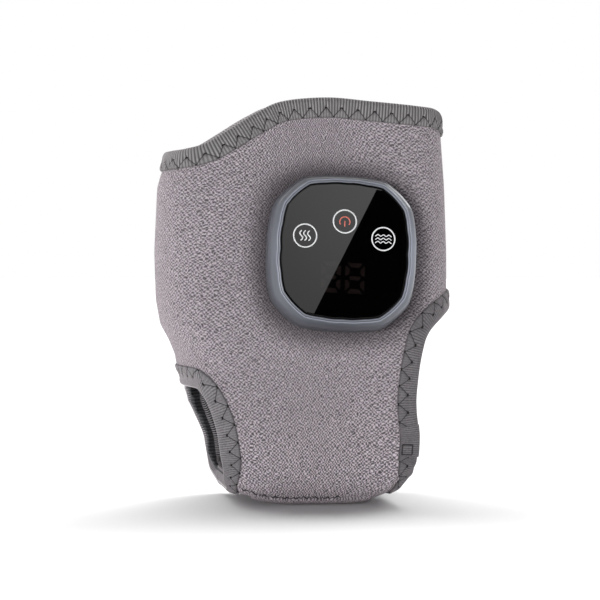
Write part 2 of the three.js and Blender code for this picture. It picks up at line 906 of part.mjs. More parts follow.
fit("touch_spring_heat", springBody(-touchAcross, touchUp), steel);
fit("touch_spring_power", springBody(0, powerUp), steel);
fit("touch_spring_vibration", springBody(touchAcross, touchUp), steel);

const buzzerBody = solidOf(rod(buzzerRadius, displayFoot, displayFoot + buzzerHeight, -buzzerAcross, -displayDown)).subtract(
  solidOf(rod(buzzerHole, displayFoot + buzzerHeight / 2, caseTop, -buzzerAcross, -displayDown, 8)),
);
fit("buzzer", buzzerBody, dark);

const plugFoot = boardLevel - layerGap - plugHeight;
fit(
  "heater_connector",
  box(plugWidth, plugDepth, plugHeight, 0, -wireDrop, plugFoot + plugHeight / 2),
  finish(0xe6e2d6, 0.5),
);
wirePlaces.forEach((x, k) => {
  fit(
    `heater_lead_${k + 1}`,
    rod(wireRadius, filmFace + layerGap, plugFoot - layerGap, x, -wireDrop, 8),
    wireRed,
  );
});

const socketMiddle = socketFace - socketDepth / 2;
const socketInside = box(
  socketWidth - 2 * socketWall,
  socketDepth,
  socketHeight - 2 * socketWall,
  0,
  socketMiddle + 2 * socketWall,
  socketLevel,
);
const socketBody = solidOf(box(socketWidth, socketDepth, socketHeight, 0, socketMiddle, socketLevel))
  .subtract(solidOf(socketInside))
  .add(
    solidOf(
      box(
        socketWidth - 6 * socketWall,
        socketDepth - 3 * socketWall,
        socketTongue,
        0,
        socketMiddle - socketWall,
        socketLevel,
      ),
    ),
  );
fit("charging_socket", socketBody, steel);

// Battery in the collar, under a foam pad
const batteryFoot = plateTop + layerGap;
const batteryTop = batteryFoot + batteryThickness;
const batteryGeometry = prism(
  roundedRectangle(
    -batteryWidth / 2,
    batteryWidth / 2,
    collarRise - batteryHeight / 2,
    collarRise + batteryHeight / 2,
    batteryCorner,
    3,
  ),
  batteryFoot,
  batteryTop,
);
fit("battery_pack", batteryGeometry, pouch);
const padTop = boardLevel - layerGap;
const padFoot = batteryTop + layerGap;
fit(
  "battery_pad",
  box(batteryPadWidth, batteryPadWidth, padTop - padFoot, 0, collarRise, (padTop + padFoot) / 2),
  rubber,
);

// Vibration motor in its rubber cradle, with a half-round weight that hangs from the shaft
const motorRight = motorLength - motorLeft;
const motorBody = solidOf(axle(motorRadius, -motorLeft, motorRight, -motorDown, motorLevel)).subtract(
  solidOf(
    axle(shaftRadius + layerGap, motorRight - shaftDepth - layerGap, motorRight + layerGap, -motorDown, motorLevel, 8),
  ),
);
fit("vibration_motor", motorBody, steel);
const cradleRadius = motorRadius + layerGap + cradleWall;
const cradleMiddle = (motorRight - motorLeft) / 2;
const cradleFoot = floorTop + layerGap;
const cradleBlock = solidOf(
  box(
    cradleLength,
    2 * cradleRadius,
    motorLevel - cradleFoot,
    cradleMiddle,
    -motorDown,
    (motorLevel + cradleFoot) / 2,
  ),
);
const cradleBore = axle(
  motorRadius + layerGap,
  cradleMiddle - cradleLength,
  cradleMiddle + cradleLength,
  -motorDown,
  motorLevel,
  roundSteps * 2,
);
fit("motor_cradle", cradleBlock.subtract(solidOf(cradleBore)), rubber);

const shaftFrom = motorRight - shaftDepth;
const shaftTo = motorRight + shaftReach;
fit("motor_shaft", axle(shaftRadius, shaftFrom, shaftTo, -motorDown, motorLevel, 8), steel);
const downward = new THREE.Vector3(0, 0, -1).transformDirection(place.clone().invert());
const hang = Math.atan2(-downward.z, -downward.y);
const hungBody = (geometry) => {
  geometry.rotateX(hang);
  return solidOf(geometry.translate(0, -motorDown, motorLevel));
};
const weightFrom = motorRight + weightGap;
const weightTo = weightFrom + weightLength;
const weightHalf = box(weightLength, weightRadius, 2 * weightRadius, (weightFrom + weightTo) / 2, -weightRadius / 2, 0);
const weightBody = hungBody(axle(weightRadius, weightFrom, weightTo, 0, 0, 2 * roundSteps))
  .intersect(hungBody(weightHalf))
  .add(hungBody(axle(hubRadius, weightFrom, weightTo, 0, 0)))
  .subtract(hungBody(axle(shaftRadius + layerGap, weightFrom - weightGap, weightTo + weightGap, 0, 0, 8)));
fit("eccentric_weight", weightBody, tungsten);

// ---------- sleeve ----------
const sew = (name, body, material) => wrap.add(meshOf(name, body, material));
const collarWindow = placed(prism(collarOutline(layerGap), 2 * plushBack, caseTop));
const slotWindow = placed(slotPrism(layerGap, 2 * plushBack, caseTop));
const plateWindow = placed(prism(collarOutline(plateMargin + layerGap), plateFoot - layerGap, plateTop + layerGap));
const underlapLine = [new THREE.Vector2(underlapEdge, slitFoot), new THREE.Vector2(underlapEdge, farOut * 2)];
const underlap = {
  line: underlapLine,
  side: 1,
  corners: [
    [hingeAcross, farOut * 2],
    [hingeAcross, slitFoot],
  ],
};
const behind = (body) => body.intersect(rear);
const underlapCut = behind(outside(underlap, tapeGrip));

const plushBody = withoutEdges(shell(0, plushBack), tapeGrip)
  .subtract(slit)
  .subtract(underlapCut)
  .subtract(collarWindow)
  .subtract(slotWindow)
  .subtract(plateWindow);
sew("outer_panel", plushBody, plush);

const screwPockets = padPlaces.map(([x, y]) =>
  placed(rod(screwHeadRadius + layerGap, plateScrewHead - layerGap, plushBack, x, y)),
);
const sensorPlaces = [-1, 1].map((side) =>
  frontPlace(moduleAcross + (side * sensorSpacing) / 2, sensorLevel),
);
const sensorBox = (grow, from, to) =>
  box(sensorWidth + 2 * grow, sensorHeight + 2 * grow, to - from, 0, 0, (from + to) / 2);
const sensorFace = filmBack - 2 * layerGap;
const sensorBack = sensorFace - sensorThickness;
let liningBody = withoutEdges(shell(liningFace, liningBack), tapeGrip).subtract(slit).subtract(underlapCut);
liningBody = liningBody.subtract(plateWindow);
for (const pocketBody of screwPockets) liningBody = liningBody.subtract(pocketBody);
for (const at of sensorPlaces) {
  const room = sensorBox(layerGap, sensorBack - layerGap, filmFace).applyMatrix4(at);
  liningBody = liningBody.subtract(solidOf(room));
}
sew("lining_panel", liningBody, lining);

const filmArea = crossPrism(
  roundedRectangle(-filmLeft, filmRight, filmFoot, filmTop, filmCorner),
  -farOut,
  0,
);
const filmWindow = placed(prism(collarOutline(plateMargin + filmWindowGap), 2 * filmBack, caseTop)).subtract(
  placed(notchBox(-layerGap, 3 * filmBack, 2 * caseTop)),
);
const filmBody = withoutEdges(shell(filmFace, filmBack).intersect(filmArea), tapeWidth + tapeGrip).subtract(filmWindow);
sew("heating_film", filmBody, film);
sensorPlaces.forEach((at, k) => {
  const sensor = meshOf(k ? "thermal_fuse" : "thermistor", sensorBox(0, sensorBack, sensorFace), dark);
  sensor.applyMatrix4(at);
  wrap.add(sensor);
});

sew("top_binding", tapeOn(edges.top), tape);
sew("heel_binding", tapeOn(edges.heel), tape);
sew("foot_binding", tapeOn(edges.foot), tape);
// The end of the foot opening's tape, folded over the beginning
const endLift = tapeGrip + layerGap;
const endArea = solidOf(
  box(2 * farOut, farOut, tapeEndHeight, 0, -farOut / 2, tapeEndFoot + tapeEndHeight / 2),
);
const endBand = outside(edges.foot, tapeWidth).subtract(outside(edges.foot, -layerGap - tapeThickness));
const endCore = bodyAt(endLift).subtract(bodyAt(liningBack - endLift)).subtract(outside(edges.foot, -layerGap));
const endShell = shell(endLift + tapeThickness, liningBack - endLift - tapeThickness);
sew("foot_binding_end", endShell.intersect(endArea).intersect(endBand).subtract(endCore), tape);

const underlapBand = behind(outside(underlap, tapeWidth).subtract(outside(underlap, 0)));
const underlapCore = coreShell.subtract(outside(underlap, tapeThickness));
const underlapArea = outside(edges.top, tapeWidth + layerGap);
sew("underlap_binding", tapeShell.intersect(underlapBand).subtract(underlapCore).subtract(underlapArea), tape);

const soleArea = solidOf(box(2 * farOut, 2 * farOut, 2 * solePieceRise, 0, 0, 0));
const soleBody = withoutEdges(shell(tapeGrip, layerGap).intersect(soleArea), tapeWidth + layerGap);
sew("sole_piece", soleBody, plush);

// ---------- back flap ----------
const flap = new THREE.Group();
wrap.add(flap);
const flapOn = (name, body, material) => flap.add(meshOf(name, body, material));
flapOn("closure_flap", flapLayer(flapLift, flapSkinBack, tapeGrip, flapRoot), plush);
flapOn("flap_lining", flapLayer(flapLiningFace, flapLiningBack, tapeGrip, flapRoot), lining);
const flapTapeOuter = flapLayer(flapLift + tapeGrip, flapLiningBack - tapeGrip, 0, flapRoot + tapeGrip).subtract(
  crossPrism(flapOutline(tapeWidth, flapRoot - tapeGrip), 0, farOut),
);
const flapTapeCore = shell(flapLift + layerGap, flapLiningBack - layerGap).intersect(
  crossPrism(flapOutline(tapeThickness, flapRoot - tapeGrip), 0, farOut),
);
flapOn("flap_binding", flapTapeOuter.subtract(flapTapeCore), tape);
const hookLeft = hingeAcross - flapReach + tapeWidth + hookSetback;
const hookRoom = flapTipTop - flapTipFoot - 2 * tapeWidth;
const hookHeight = hookHeightShare * hookRoom;
const hookGap = (hookRoom - 2 * hookHeight) / 3;
[0, 1].forEach((k) => {
  const foot = flapTipFoot + tapeWidth + hookGap + k * (hookHeight + hookGap);
  const outline = roundedRectangle(hookLeft, hookLeft + hookWidth, foot, foot + hookHeight, hookSetback / 2, 2);
  const patch = shell(hookFace, hookFace - hookThickness).intersect(crossPrism(outline, 0, farOut));
  flapOn(k ? "hook_patch_upper" : "hook_patch_lower", patch, hook);
});

export default wrap;
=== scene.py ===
"""Heated ankle massager wrap: plush sleeve, taped edges, stitches and the control module, dressed over its solids."""

import math

import bpy
import numpy as np
from mathutils import Matrix, Vector
from mathutils.kdtree import KDTree


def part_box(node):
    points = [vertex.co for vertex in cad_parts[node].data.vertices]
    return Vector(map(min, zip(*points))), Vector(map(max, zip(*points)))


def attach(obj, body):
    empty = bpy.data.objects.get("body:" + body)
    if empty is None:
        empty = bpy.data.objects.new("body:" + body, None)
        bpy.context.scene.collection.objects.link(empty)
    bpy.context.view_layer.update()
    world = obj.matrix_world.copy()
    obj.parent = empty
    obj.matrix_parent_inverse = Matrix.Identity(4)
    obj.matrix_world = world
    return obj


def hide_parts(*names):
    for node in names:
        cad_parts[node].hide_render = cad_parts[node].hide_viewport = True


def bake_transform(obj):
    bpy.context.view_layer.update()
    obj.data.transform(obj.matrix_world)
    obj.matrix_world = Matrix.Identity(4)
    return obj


bl_info = {
    "name": "Heated ankle wrap",
    "version": (1, 0, 0),
    "blender": (4, 5, 0),
    "location": "View3D > Sidebar > Ankle wrap",
    "description": "Dresses the solids of a heated ankle wrap with plush, taped edges, stitches and a touch panel",
    "category": "Object",
}

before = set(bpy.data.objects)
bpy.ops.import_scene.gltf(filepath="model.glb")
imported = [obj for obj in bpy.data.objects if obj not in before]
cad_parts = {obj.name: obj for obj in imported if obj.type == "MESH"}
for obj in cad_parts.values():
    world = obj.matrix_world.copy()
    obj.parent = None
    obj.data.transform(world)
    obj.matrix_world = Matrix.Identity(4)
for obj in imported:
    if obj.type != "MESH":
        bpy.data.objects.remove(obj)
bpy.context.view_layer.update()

# ---------------------------------------------------------------- sizes that follow the solids, in metres
SLEEVE_HALF_WIDTH = 0.0674
SLEEVE_HEIGHT = 0.1844
ANKLE_HALF_DEPTH = 0.043
ANKLE_HEIGHT = 0.072
TOP_HALF_DEPTH = 0.026
SOLE_HALF_DEPTH = 0.041
SOLE_LEVEL = 0.0012
SOLE_RADIUS = 0.015
FACE_EXPONENT = 6

HEEL_SIDE_SHARES = [
    (0.09, 0.81), (0.36, 0.855), (0.4, 0.9), (0.44, 0.96), (0.5, 0.99),
    (0.62, 1), (0.78, 0.98), (0.88, 0.9), (1.13, 0.8),
]
SHIN_SIDE_SHARES = [
    (0.09, 0.97), (0.36, 0.99), (0.4, 0.995), (0.44, 1), (0.5, 1.003),
    (0.62, 1.005), (0.78, 0.993), (0.88, 0.975), (1.13, 0.92),
]
HEEL_REACH = (-0.027, -0.0285, 0.053)
HEEL_EDGE_SHARES = [
    (1, 1), (0.825, 0.985), (0.685, 0.875), (0.555, 0.66), (0.475, 0.377),
    (0.445, 0.226), (0.425, 0.113), (0.355, 0.0415), (0.338, 0),
]
FOOT_REACH = (0, 0.068, 0.088)
FOOT_EDGE_SHARES = [
    (1, 1), (0.9, 0.955), (0.79, 0.876), (0.74, 0.765), (0.71, 0.6), (0.706, 0.5),
    (0.722, 0.36), (0.708, 0.21), (0.69, 0.15), (0.682, 0.088), (0.64, 0.04), (0.624, 0),
]
TOP_REACH = (0, SLEEVE_HALF_WIDTH, SLEEVE_HEIGHT)
TOP_EDGE_SHARES = [
    (-1.04, 0.8), (-1.0, 0.845), (-0.945, 0.866), (-0.81, 0.874), (-0.68, 0.888), (-0.51, 0.925), (-0.34, 0.9625),
    (-0.165, 0.99), (0.14, 1), (0.44, 0.991), (0.76, 0.981), (0.89, 0.976), (0.955, 0.96), (1.02, 0.91),
]

# the sole rises towards its two ends: where each rise begins, the reach over which it gains its height, and that
# height; it ends at the most that either end may rise, and nothing above the crown's height moves
CROWN_HEEL = (-0.008, 0.0206, 0.0031)
CROWN_FOOT = (0.019, 0.016, 0.003)
CROWN_MOST = 0.008
CROWN_HEIGHT = 0.026

# how far the layers' faces lie from the sleeve's face
PLUSH_BACK = -0.0035
LINING_FACE = -0.0047
LINING_BACK = -0.0084
LINING_NEAR = 0.0011  # within this of a face, the lining is laid on it
TAPE_TOP = 0.00135
TAPE_FOOT = 0.0098
TAPE_REACH = 0.0098

MODULE_PLACE = (0.0128, 0.1124)
MODULE_YAW = math.radians(0.8)
MODULE_ROLL = math.radians(3.2)
GLASS_TOP = 0.016
GLASS_FOOT = 0.0144
GLASS_HALF = (0.0283, 0.0303)
CASE_HALF = (0.0337, 0.035)
CASE_EXPONENT = 2.85

# the display's two digits, each of seven strokes: one bar, two ends and four sides
DIGITS_MIDDLES = (-0.00575, 0.00505)
DIGITS_HEIGHT = -0.012
DIGIT_BAR = np.array([
    (-0.0027, 0.0001), (-0.0022, 0.0009), (0.0022, 0.0009), (0.0027, 0.0001), (0.0018, -0.0009), (-0.0018, -0.0009),
])
DIGIT_END = np.array([(-0.0035, 0.0069), (0.0035, 0.0069), (0.002, 0.0048), (-0.002, 0.0048)])
DIGIT_SIDE = np.array([(0.0044, 0.0057), (0.0044, 0.0008), (0.003, 0.0013), (0.0024, 0.0019), (0.0024, 0.0039)])


# ---------------------------------------------------------------- the sleeve's surface
def share_at(shares, heights):
    """The half width's share at each height."""
    return np.interp(heights / SLEEVE_HEIGHT, [row[0] for row in shares], [row[1] for row in shares])


def section_at(heights):
    """Middle, half width and half depth of the sleeve at each height."""
    left = SLEEVE_HALF_WIDTH * share_at(HEEL_SIDE_SHARES, heights)
    right = SLEEVE_HALF_WIDTH * share_at(SHIN_SIDE_SHARES, heights)
    slope = (ANKLE_HALF_DEPTH - TOP_HALF_DEPTH) / (SLEEVE_HEIGHT - ANKLE_HEIGHT)
    low = SOLE_HALF_DEPTH + (ANKLE_HALF_DEPTH - SOLE_HALF_DEPTH) * heights / ANKLE_HEIGHT
    depth = np.where(heights < ANKLE_HEIGHT, low, ANKLE_HALF_DEPTH - slope * (heights - ANKLE_HEIGHT))
    return (right - left) / 2, (right + left) / 2, depth


def outside_by(points):
    """How far points lie outside the sleeve's face: zero on it, and negative inside."""
    knee = SOLE_LEVEL + SOLE_RADIUS
    height = np.maximum(points[:, 2], knee)
    middle, half, depth = section_at(height)
    across = np.abs(points[:, 0] - middle)
    along = np.abs(points[:, 1])
    low = np.full(len(points), -0.08)
    high = np.minimum(half, depth) - 0.001
    for _ in range(26):
        inset = (low + high) / 2
        outside = (across / (half - inset)) ** FACE_EXPONENT + (along / (depth - inset)) ** 2 > 1
        low = np.where(outside, low, inset)
        high = np.where(outside, inset, high)
    inset = (low + high) / 2
    fillet = np.hypot(np.maximum(SOLE_RADIUS - inset, 0), knee - points[:, 2]) - SOLE_RADIUS
    return np.where(points[:, 2] < knee, fillet, -inset)


def outward(points):
    """The direction out of the sleeve at each point, and how fast outside_by grows along it."""
    step = 2e-5
    grown = np.stack(
        [outside_by(points + step * axis) - outside_by(points - step * axis) for axis in np.eye(3)], axis=1
    )
    grown /= 2 * step
    size = np.linalg.norm(grown, axis=1, keepdims=True)
    return grown / np.maximum(size, 1e-9), size[:, 0]


def laid_on(points, lift):
    """Points moved onto the sleeve's face and then out by a lift."""
    points = np.array(points, float)
    for _ in range(4):
        normal, growth = outward(points)
        points = points - normal * (outside_by(points) / np.maximum(growth, 0.3))[:, None]
    normal, _ = outward(points)
    return points + normal * np.asarray(lift).reshape(-1, 1), normal


def smooth_line(points, count):
    """A smooth line through points, at equal steps."""
    points = np.array(points, float)
    ends = np.vstack([2 * points[0] - points[1], points, 2 * points[-1] - points[-2]])
    fine = []
    for k in range(1, len(ends) - 2):
        a, b, c, d = ends[k - 1 : k + 3]
        for t in np.linspace(0, 1, 40, endpoint=False):
            fine.append(
                0.5 * (2 * b + (c - a) * t + (2 * a - 5 * b + 4 * c - d) * t**2 + (3 * b - a - 3 * c + d) * t**3)
            )
    fine.append(points[-1])
    return even_steps(np.array(fine), count)


def even_steps(line, count, closed=False):
    """The same line cut at equal steps."""
    if closed:
        line = np.vstack([line, line[:1]])
    lengths = np.linalg.norm(np.diff(line, axis=0), axis=1)
    run = np.concatenate([[0], np.cumsum(lengths)])
    at = np.linspace(0, run[-1], count + 1)[: count if closed else None]
    return np.stack([np.interp(at, run, line[:, k]) for k in range(line.shape[1])], axis=1)


def edge_loop(reach, shares, count):
    """A taped edge's closed line on the sleeve's face: along the front and back along the rear."""
    start, span, rise = reach
    flat = smooth_line([(start + span * across, rise * up) for across, up in shares], 600)
    knee = SOLE_LEVEL + SOLE_RADIUS
    front = []
    for x, z in flat:
        height = np.array([max(z, knee)])
        middle, half, depth = (float(value[0]) for value in section_at(height))
        inset = 0
        if z < knee:
            drop = min(1, (knee - z) / SOLE_RADIUS)
            inset = SOLE_RADIUS * (1 - math.sqrt(1 - drop * drop))
        share = abs(x - middle) / (half - inset)
        if share < 1:
            y = -(depth - inset) * math.sqrt(1 - share**FACE_EXPONENT)
            front.append((x, y, max(z, SOLE_LEVEL)))
        elif front and z > knee:
            break
    front = np.array(front)
    rear = front[::-1] * np.array([1, -1, 1])
    return even_steps(np.vstack([front, rear]), count, closed=True)


# ---------------------------------------------------------------- materials
KNIT_ROW = 0.0016
HOOK_ROW = 0.0015
PLUSH_TURNS = 190.0  # rows of tufts round the sleeve, times two pi


def linear(colour):
    """A screen colour as light values, with alpha."""
    return tuple(c / 12.92 if c <= 0.04045 else ((c + 0.055) / 1.055) ** 2.4 for c in colour[:3]) + (1.0,)


def shade(colour, factor):
    """A screen colour made lighter or darker."""
    return tuple(min(1, c * factor) for c in colour[:3])


def sum_of(operation, swapped=False):
    """One of the sums that can be written on signals."""
    return lambda self, other: self.maths(operation, *((other, self) if swapped else (self, other)))


class Signal:
    """A value that travels through nodes, so that sums on it read as sums."""

    def __init__(self, nodes, socket):
        self.nodes = nodes
        self.socket = socket

    def maths(self, operation, *values):
        return self.nodes.add("ShaderNodeMath", {"operation": operation}, dict(enumerate(values)))

    __add__, __radd__ = sum_of("ADD"), sum_of("ADD", True)
    __sub__, __rsub__ = sum_of("SUBTRACT"), sum_of("SUBTRACT", True)
    __mul__, __rmul__ = sum_of("MULTIPLY"), sum_of("MULTIPLY", True)
    __truediv__, __rtruediv__ = sum_of("DIVIDE"), sum_of("DIVIDE", True)
    __pow__ = sum_of("POWER")

    def sine(self):
        return self.maths("SINE", self)

    def part(self, low, high):
        """0 below low, 1 above high, and smooth between."""
        settings = {"interpolation_type": "SMOOTHSTEP", "clamp": True}
        return self.nodes.add("ShaderNodeMapRange", settings, {"Value": self, "From Min": low, "From Max": high})


class Nodes:
    """A tree of nodes, emptied first."""

    def __init__(self, owner):
        owner.use_nodes = True
        self.tree = owner.node_tree
        self.tree.nodes.clear()

    def fill(self, node, values):
        """Gives a node's inputs their numbers, colours or signals."""
        for key, value in values.items():
            if isinstance(value, Signal):
                self.tree.links.new(value.socket, node.inputs[key])
            else:
                node.inputs[key].default_value = value

    def add(self, kind, settings=None, values=None, output=0):
        """Any node: its settings first, then the values or links of its sockets. Gives one of its outputs."""
        node = self.tree.nodes.new(kind)
        for key, value in (settings or {}).items():
            if key == "stops":
                ramp = node.color_ramp
                while len(ramp.elements) < len(value):
                    ramp.elements.new(0.5)
                for element, (at, colour) in zip(ramp.elements, value):
                    element.position = at
                    element.color = linear(colour)
            else:
                setattr(node, key, value)
        self.fill(node, values or {})
        return Signal(self, node.outputs[output]) if node.outputs else None


class Finish(Nodes):
    """One material, made of nodes."""

    def __init__(self, name, roughness=0.5, metallic=0.0, sheen=0.0, tint=None, level=0.5):
        self.material = bpy.data.materials.new(name)
        super().__init__(self.material)
        self.shader = self.tree.nodes.new("ShaderNodeBsdfPrincipled")
        self.end = self.tree.nodes.new("ShaderNodeOutputMaterial")
        self.surface = Signal(self, self.shader.outputs[0])
        self.fill(self.end, {"Surface": self.surface})
        self.set(Roughness=roughness, Metallic=metallic, Specular_IOR_Level=level, IOR=1.5)
        self.set(Sheen_Weight=sheen, Sheen_Roughness=0.45)
        if tint:
            self.set(Sheen_Tint=linear(tint), Sheen_Roughness=0.5)
        self._place = None

    def place(self):
        """Where a point is on the object, in metres."""
        if self._place is None:
            self._place = self.add("ShaderNodeTexCoord", output="Object")
        return self._place

    def turned(self, scale=(1, 1, 1), rotation=(0, 0, 0), place=None):
        """The place stretched and turned, for a pattern that runs one way."""
        values = {"Vector": place or self.place(), "Scale": scale, "Rotation": rotation}
        return self.add("ShaderNodeMapping", None, values)

    def noise(self, scale, detail=2.0, rough=0.5, bend=0.0, place=None):
        values = {"Scale": scale, "Detail": detail, "Roughness": rough, "Distortion": bend}
        return self.add("ShaderNodeTexNoise", None, {"Vector": place or self.place(), **values})

    def cells(self, scale, feature="F1"):
        values = {"Vector": self.place(), "Scale": scale}
        return self.add("ShaderNodeTexVoronoi", {"feature": feature}, values, "Distance")

    def axis(self, index, place=None):
        """One of a place's three numbers."""
        return self.add("ShaderNodeSeparateXYZ", None, {0: place or self.place()}, index)

    def mixed(self, amount, first, second):
        """From the first colour to the second as the amount goes from 0 to 1."""
        values = {0: amount}
        for key, colour in ((6, first), (7, second)):
            values[key] = colour if isinstance(colour, Signal) else linear(colour)
        return self.add("ShaderNodeMix", {"data_type": "RGBA", "clamp_factor": True}, values, 2)

    def ramp(self, amount, stops):
        return self.add("ShaderNodeValToRGB", {"stops": stops}, {0: amount})

    def bump(self, height, depth, strength=1.0):
        """Relief of a depth in metres."""
        values = {"Height": height, "Distance": depth, "Strength": strength}
        return self.add("ShaderNodeBump", None, values, "Normal")

    def set(self, **inputs):
        """Joins signals to the shader's own inputs: Base_Color=..., Normal=..."""
        self.fill(self.shader, {key.replace("_", " "): value for key, value in inputs.items()})
        return self


def plush_finish(name, look, tone=1.0, pressed=False, flat=False):
    """Short velour pile: crooked rows of tufts round the sleeve, light on their tips and dark between; if asked, with
    painted shade round the module and painted light towards the sole.
    """
    finish = Finish(name, roughness=0.95, sheen=look.plush_sheen, tint=look.plush_rim, level=0.1)
    if flat:
        round_it, up = finish.axis(0) * (2 * math.pi / look.tuft_width), finish.axis(1)
    else:
        behind = finish.axis(1) * -1
        round_it, up = behind.maths("ARCTAN2", finish.axis(0), behind) * PLUSH_TURNS, finish.axis(2)
    crooked = finish.noise(420, 1.5, 0.6) * 11.0
    leaning = finish.noise(380, 1.5, 0.6, 0.0, finish.turned((1, 1, 1), (0.7, 0.4, 1.1))) * 10.0
    tufts = (round_it + crooked).sine() * (up * (2 * math.pi / look.tuft_height) + leaning).sine() * 0.5 + 0.5
    fine = finish.noise(2100, 1.0, 0.5, 0.3)
    nap = finish.noise(120, 2.0, 0.5)
    pile = tufts * 0.62 + fine * 0.38
    light = pile.part(0.16, 0.84)
    base = shade(look.plush, tone)
    dark, bright = 1 - look.plush_depth, 1 + look.plush_depth * 0.62
    colour = finish.ramp(light, [(0.0, shade(base, dark)), (0.5, base), (1.0, shade(base, bright))])
    drift = finish.noise(38, 2, 0.5)
    colour = finish.mixed((nap * 0.5 + drift * 0.5).part(0.3, 0.75) * 0.2, colour, shade(base, 0.84))
    if pressed:
        # painted light: the pile is made lighter towards the sole, where less light reaches it
        stops = ((0.0, dark * 0.95), (0.5, 1.06), (1.0, bright * 1.2))
        painted_lighter_pile = finish.ramp(light, [(at, shade(base, factor)) for at, factor in stops])
        colour = finish.mixed(1 - finish.axis(2).part(0.004, 0.06), colour, painted_lighter_pile)
        # painted shade: the pile darkens in a soft halo round the module's outline, as a shadow would
        place, _ = module_place()
        start = place.translation
        sides = []
        for axis, half in ((0, CASE_HALF[0]), (1, CASE_HALF[1]), (2, 0)):
            way = place.to_3x3().col[axis]
            run = finish.axis(0) * way.x + finish.axis(1) * way.y + finish.axis(2) * way.z - start.dot(way)
            sides.append(run if not half else run.maths("ABSOLUTE", run / half) ** CASE_EXPONENT)
        reach = ((sides[0] + sides[1]) ** (1 / CASE_EXPONENT) - 1) * CASE_HALF[0]
        near = (1 - reach.part(-0.001, look.press_reach)) * sides[2].part(-0.014, -0.008)
        colour = finish.mixed(near * look.press, colour, shade(base, 0.3))
    return finish.set(Base_Color=colour, Normal=finish.bump(pile, 0.0009, 0.8)).material


def knit_finish(name, look):
    """Dark ribbed knit of the inside."""
    finish = Finish(name, roughness=0.9, sheen=0.15, tint=look.lining, level=0.2)
    wave = (finish.axis(2) * (2 * math.pi / KNIT_ROW)).sine() * 0.5 + 0.5
    loops = finish.cells(900)
    height = wave * 0.7 + (1 - loops) * 0.3
    colour = finish.mixed(height, shade(look.lining, 0.55), shade(look.lining, 1.3))
    colour = finish.mixed(finish.noise(90, 2).part(0.35, 0.7) * 0.4, colour, shade(look.lining, 0.75))
    return finish.set(Base_Color=colour, Normal=finish.bump(height, 0.0006, 0.8)).material


def tape_finish(name, look, colour, tape, contrast=1.0, edge=1.0):
    """Woven edge tape, ribbed across its width and puckered by its stitches, with painted shadow along its thread and
    its edge on the plush, and, where asked, a painted highlight and painted shade at its fold. Its pattern follows the
    tape's map.
    """
    finish = Finish(name, roughness=0.82, sheen=0.25, tint=look.plush_rim, level=0.25)
    run = finish.add("ShaderNodeUVMap", {"uv_map": "tape"})
    along, across = finish.axis(0, run), finish.axis(1, run)
    flow = finish.noise(60, 2, 0.5) * 1.1
    ribs = (along * (2 * math.pi / tape.rib_pitch) + flow).sine() * 0.5 + 0.5
    threads = finish.noise(1500, 2, 0.6, 0.3)
    strands = finish.noise(1.0, 1.0, 0.5, 0.0, finish.turned((5200, 700, 1), (0, 0, 0), run))
    weave = threads * 0.55 + strands * 0.45
    share = 0.62 * contrast
    if tape.stitched:
        phase = along.maths("FRACT", along / tape.pitch)
        fold = along.maths("ABSOLUTE", phase - 0.5) * 2
        beyond = across - (fold * (look.stitch_inner - look.stitch_outer) + look.stitch_outer)
        inner = beyond.part(0.0, 0.0004)
        ribs = ribs * (1 - inner * 0.5) + inner * 0.24
    height = ribs * share + weave * (1 - share)
    mask = height.part(0.24, 0.76)
    tone = finish.ramp(mask, [(at, shade(colour, factor)) for at, factor in ((0.0, 0.66), (0.45, 0.95), (1.0, 1.22))])
    tone = finish.mixed(finish.noise(140, 3, 0.6).part(0.35, 0.75) * 0.35, tone, shade(colour, 0.8))
    if tape.stitched:
        tone = finish.mixed(inner * finish.noise(700, 2).part(0.3, 0.6) * 0.4, tone, shade(colour, 1.02))
        # painted shadow: a dark band along the thread's line on the tape
        beside = 1 - along.maths("ABSOLUTE", beyond + 0.0001).part(0.0001, 0.0006)
        tone = finish.mixed(beside * 0.42, tone, shade(colour, 0.45))
        # painted shadow: the tape's last millimetre, at its edge on the plush, is darkened
        tone = finish.mixed(across.part(0.0088, 0.0097) * 0.5, tone, shade(colour, 0.35))
    if edge > 1:
        # painted highlight: a light line along the fold's edge, lighter by the edge factor
        rim = across.part(-0.0009, -0.0002) * (1 - across.part(0.0003, 0.0009))
        tone = finish.mixed(rim, tone, shade(colour, edge))
        # painted shade round the fold and on the side turned under: nearly black, with light and dark ribs in it
        inside = 1 - across.part(-0.0022, -0.0012)
        deep = (along * (2 * math.pi / tape.rib_pitch) + flow).sine() * 0.34 + threads * 0.5 + 0.22
        painted_shade_under = finish.mixed(deep.part(0.2, 0.8), shade(colour, 0.03), shade(colour, 1.15))
        tone = finish.mixed(inside * 0.94, tone, painted_shade_under)
    return finish.set(Base_Color=tone, Normal=finish.bump(height, 0.0004, 0.7)).material


def thread_finish(name, colour):
    """Twisted sewing thread."""
    finish = Finish(name, roughness=0.75, sheen=0.1, level=0.3)
    twist = finish.noise(4200, 1, 0.5, 0.2)
    tone = finish.mixed(twist.part(0.35, 0.65), shade(colour, 0.6), shade(colour, 1.3))
    return finish.set(Base_Color=tone, Normal=finish.bump(twist, 0.0002, 0.6)).material


